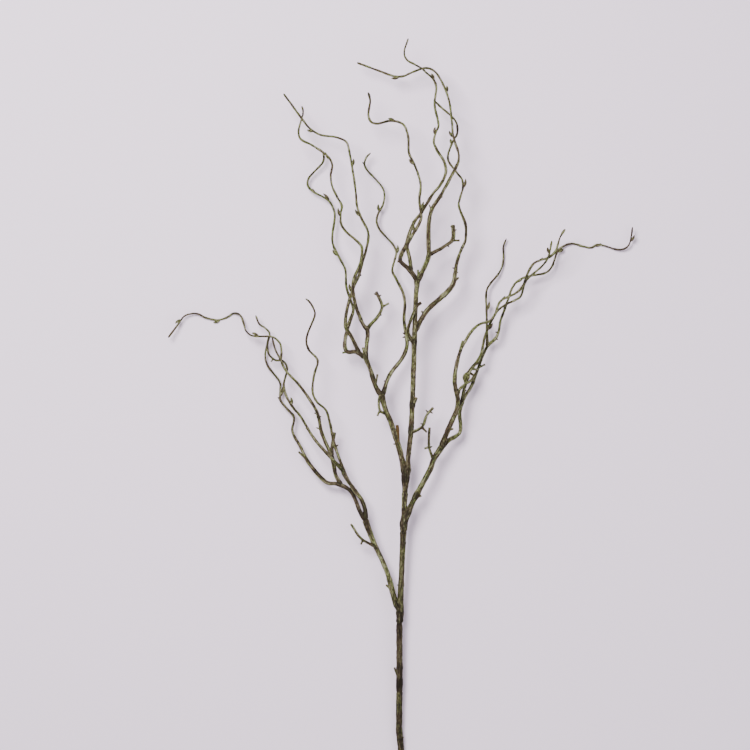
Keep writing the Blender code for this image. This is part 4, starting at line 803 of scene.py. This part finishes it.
class Wire:
    """A node's output, whose sums, differences and products add their Math nodes."""

    def __init__(self, paint, socket):
        self.paint = paint
        self.socket = socket

    def worked(self, operation, *values, clamp=False):
        settings = {"operation": operation, "use_clamp": clamp}
        return self.paint.add("Math", settings, dict(enumerate(values)))

    def __add__(self, other):
        return self.worked("ADD", self, other)

    def __radd__(self, other):
        return self.worked("ADD", other, self)

    def __sub__(self, other):
        return self.worked("SUBTRACT", self, other)

    def __rsub__(self, other):
        return self.worked("SUBTRACT", other, self)

    def __mul__(self, other):
        return self.worked("MULTIPLY", self, other)

    def __rmul__(self, other):
        return self.worked("MULTIPLY", other, self)

    def held(self):
        """The value kept between 0 and 1."""
        return self.worked("ADD", self, 0.0, clamp=True)

    def step(self, low, high):
        """0 below low, 1 above high and smooth between."""
        settings = {"interpolation_type": "SMOOTHSTEP"}
        return self.paint.add("MapRange", settings, {"Value": self, "From Min": low, "From Max": high})


class Paint:
    """A finish and its nodes."""

    def __init__(self, name):
        self.material = bpy.data.materials.new(name)
        self.material.use_nodes = True
        self.nodes = self.material.node_tree.nodes
        self.shader = self.nodes["Principled BSDF"]

    def add(self, kind, settings, values, out=0):
        """Adds a node: its settings first, then the values or wires of its sockets."""
        node = self.nodes.new(f"ShaderNode{kind}")
        for key, value in settings.items():
            setattr(node, key, value)
        for key, value in values.items():
            self.feed(node.inputs[key], value)
        return Wire(self, node.outputs[out])

    def feed(self, socket, value):
        if isinstance(value, Wire):
            self.material.node_tree.links.new(value.socket, socket)
        else:
            socket.default_value = value

    def mix(self, factor, first, second):
        colours = [value if isinstance(value, Wire) else (*value, 1.0) for value in (first, second)]
        settings = {"data_type": "RGBA", "clamp_factor": True}
        return self.add("Mix", settings, {0: factor, 6: colours[0], 7: colours[1]}, out=2)

    def marked(self, name, out="Vector"):
        """What the mesh holds at each point under a name."""
        return self.add("Attribute", {"attribute_name": name}, {}, out=out)

    def noise(self, place, scale, detail=2.0, roughness=0.5):
        """Noise over a place that is scaled across and along the strand."""
        scaled = self.add("VectorMath", {"operation": "MULTIPLY"}, {0: place, 1: scale})
        values = {"Vector": scaled, "Scale": 1.0, "Detail": detail, "Roughness": roughness}
        return self.add("TexNoise", {}, values)

    def split(self, vector):
        parts = self.add("SeparateXYZ", {}, {"Vector": vector})
        return [Wire(self, socket) for socket in parts.socket.node.outputs]

    def finish(self, colour, roughness, height, depth, sheen_level):
        bump = self.add("Bump", {}, {"Height": height, "Strength": 0.7, "Distance": depth})
        inputs = {
            "Base Color": colour, "Roughness": roughness, "Normal": bump,
            "Specular IOR Level": sheen_level,
        }
        for key, value in inputs.items():
            self.feed(self.shader.inputs[key], value)
        return self.material


def bark(name, colours, roughness):
    """Moulded bark: olive and brown patches, painted shade in the creases, pale rubbed paint with a painted
    highlight on the ridges, and dark collars.
    """
    olive, green, brown, dark, bloom_and_highlight = colours
    paint = Paint(name)
    grain = paint.marked("grain")
    tone, darkness, greenness = paint.split(paint.marked("shade"))
    relief = paint.marked("relief", out="Fac")
    patches = paint.noise(grain, (0.5, 0.5, 0.1), 4.0, 0.65)
    blots = paint.noise(grain, (0.75, 0.75, 0.32), 3.0, 0.62)
    streaks = paint.noise(grain, (0.75, 0.75, 0.26), 2.0, 0.6)
    fibres = paint.noise(grain, (1.3, 1.3, 0.08), 3.0, 0.6)
    crumbs = paint.noise(grain, (0.95, 0.95, 0.6), 4.0, 0.6)
    drift = paint.noise(grain, (0.2, 0.2, 0.035), 2.0)
    # Olive or green where the paint is fresh, brown where it isn't.
    fresh = paint.mix((greenness * 0.8 + (drift - 0.5) * 1.6).held(), olive, green)
    living = (tone + (patches - 0.5) * 2.4 + (drift - 0.5) * 1.2).step(0.38, 0.6)
    colour = paint.mix(living, brown, fresh)
    colour = paint.mix(blots.step(0.52, 0.6) * 0.6, colour, brown)
    # Pale rubbed paint and a painted highlight on the ridges.
    raised = relief + (streaks - 0.5) * 3.4 + (fibres - 0.5) * 1.4 + (crumbs - 0.5) * 3.0
    rubbed_and_highlight = raised.step(0.12, 0.62) * (1 - blots.step(0.45, 0.58) * 0.6) * (living * 0.6 + 0.4)
    colour = paint.mix(rubbed_and_highlight * 0.7, colour, bloom_and_highlight)
    # Painted shade: dark brown laid into the creases between the ridges.
    painted_crease_shade = (0.0 - raised).step(0.1, 0.55)
    colour = paint.mix(painted_crease_shade * 0.85, colour, dark)
    # Dark and rough at the collars and knuckles.
    collar = (darkness + (crumbs - 0.5) + (patches - 0.5) * 1.6 - rubbed_and_highlight * 0.2).step(0.28, 0.7)
    colour = paint.mix(collar * 0.8, colour, dark)
    height = fibres * 0.6 + crumbs * (0.35 + collar * 0.6)
    roughness = roughness + collar * 0.15 - rubbed_and_highlight * 0.08
    return paint.finish(colour, roughness, height, BARK_BUMP, BARK_SHEEN)


def cut_wood(name, rim, face, pith):
    """The face of a cut end: a dark rim, pale rays and a darker pith."""
    paint = Paint(name)
    grain = paint.marked("grain")
    share = paint.split(paint.marked("shade"))[0]
    rays = paint.noise(grain, (2.2, 2.2, 1.0), 3.0, 0.6)
    colour = paint.mix(rays.step(0.4, 0.65) * 0.5, face, [0.62 * part for part in face])
    colour = paint.mix(1 - share.step(0.12, 0.3), colour, pith)
    colour = paint.mix(share.step(0.84, 1.0), colour, rim)
    return paint.finish(colour, 0.7 + 0.1 * rays, rays, FACE_BUMP, FACE_SHEEN)


def lay_floor():
    paint = Paint("floor_paint")
    paint.feed(paint.shader.inputs["Base Color"], (*FLOOR_COLOUR, 1.0))
    paint.feed(paint.shader.inputs["Roughness"], 0.85)
    mesh = bpy.data.meshes.new("floor")
    corners = [(x * FLOOR_HALF, y * FLOOR_HALF, 0) for x, y in ((-1, -1), (1, -1), (1, 1), (-1, 1))]
    mesh.from_pydata(corners, [], [(0, 1, 2, 3)])
    mesh.materials.append(paint.material)
    floor = bpy.data.objects.new("floor", mesh)
    bpy.context.scene.collection.objects.link(floor)


def light_studio():
    for name, place, aim, size, power, colour in LIGHTS:
        lamp = bpy.data.lights.new(name, "AREA")
        lamp.shape = "SQUARE"
        lamp.size = size
        lamp.energy = power
        lamp.color = colour
        holder = bpy.data.objects.new(name, lamp)
        holder.location = place
        holder.rotation_euler = (Vector(aim) - Vector(place)).to_track_quat("-Z", "Y").to_euler()
        bpy.context.scene.collection.objects.link(holder)
    world = bpy.data.worlds.new("studio")
    world.use_nodes = True
    backdrop = world.node_tree.nodes["Background"]
    backdrop.inputs["Color"].default_value = (*ROOM_COLOUR, 1.0)
    backdrop.inputs["Strength"].default_value = ROOM_STRENGTH
    bpy.context.scene.world = world


def set_camera():
    """Straight above the spray, with the photograph's square frame."""
    camera = bpy.data.cameras.new("camera")
    camera.lens = LENS
    camera.sensor_width = SENSOR
    camera.clip_end = 50.0
    holder = bpy.data.objects.new("camera", camera)
    height = FRAME_SIDE * LENS / SENSOR
    holder.location = (*FRAME_CENTRE, FRAME_LEVEL + height)
    bpy.context.scene.collection.objects.link(holder)
    bpy.context.scene.camera = holder


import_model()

strands = {}
for strand_name in STRANDS:
    strands[strand_name] = Strand(strand_name, strands)

dark_bark = bark("dark_bark", DARK_BARK, 0.66)
olive_bark = bark("olive_bark", OLIVE_BARK, 0.64)
orange_bark = bark("orange_bark", ORANGE_BARK, 0.66)
cut_ends = cut_wood("cut_ends", *CUT_COLOURS)

for piece_name, node_name, slot_name, strand_names in PIECES:
    bark_skin, face_skin = Skin(), Skin()
    for strand_name in strand_names:
        lay_strand(bark_skin, face_skin, strands[strand_name], node_name)
    main_bark = dark_bark if slot_name == "bark_dark" else olive_bark
    bark_skin.make(piece_name, [main_bark, orange_bark], slot_name, [node_name] if node_name else [])
    if face_skin.count:
        face_skin.make(f"{piece_name}_cut_faces", [cut_ends], slot_name)

lay_floor()
light_studio()
set_camera()
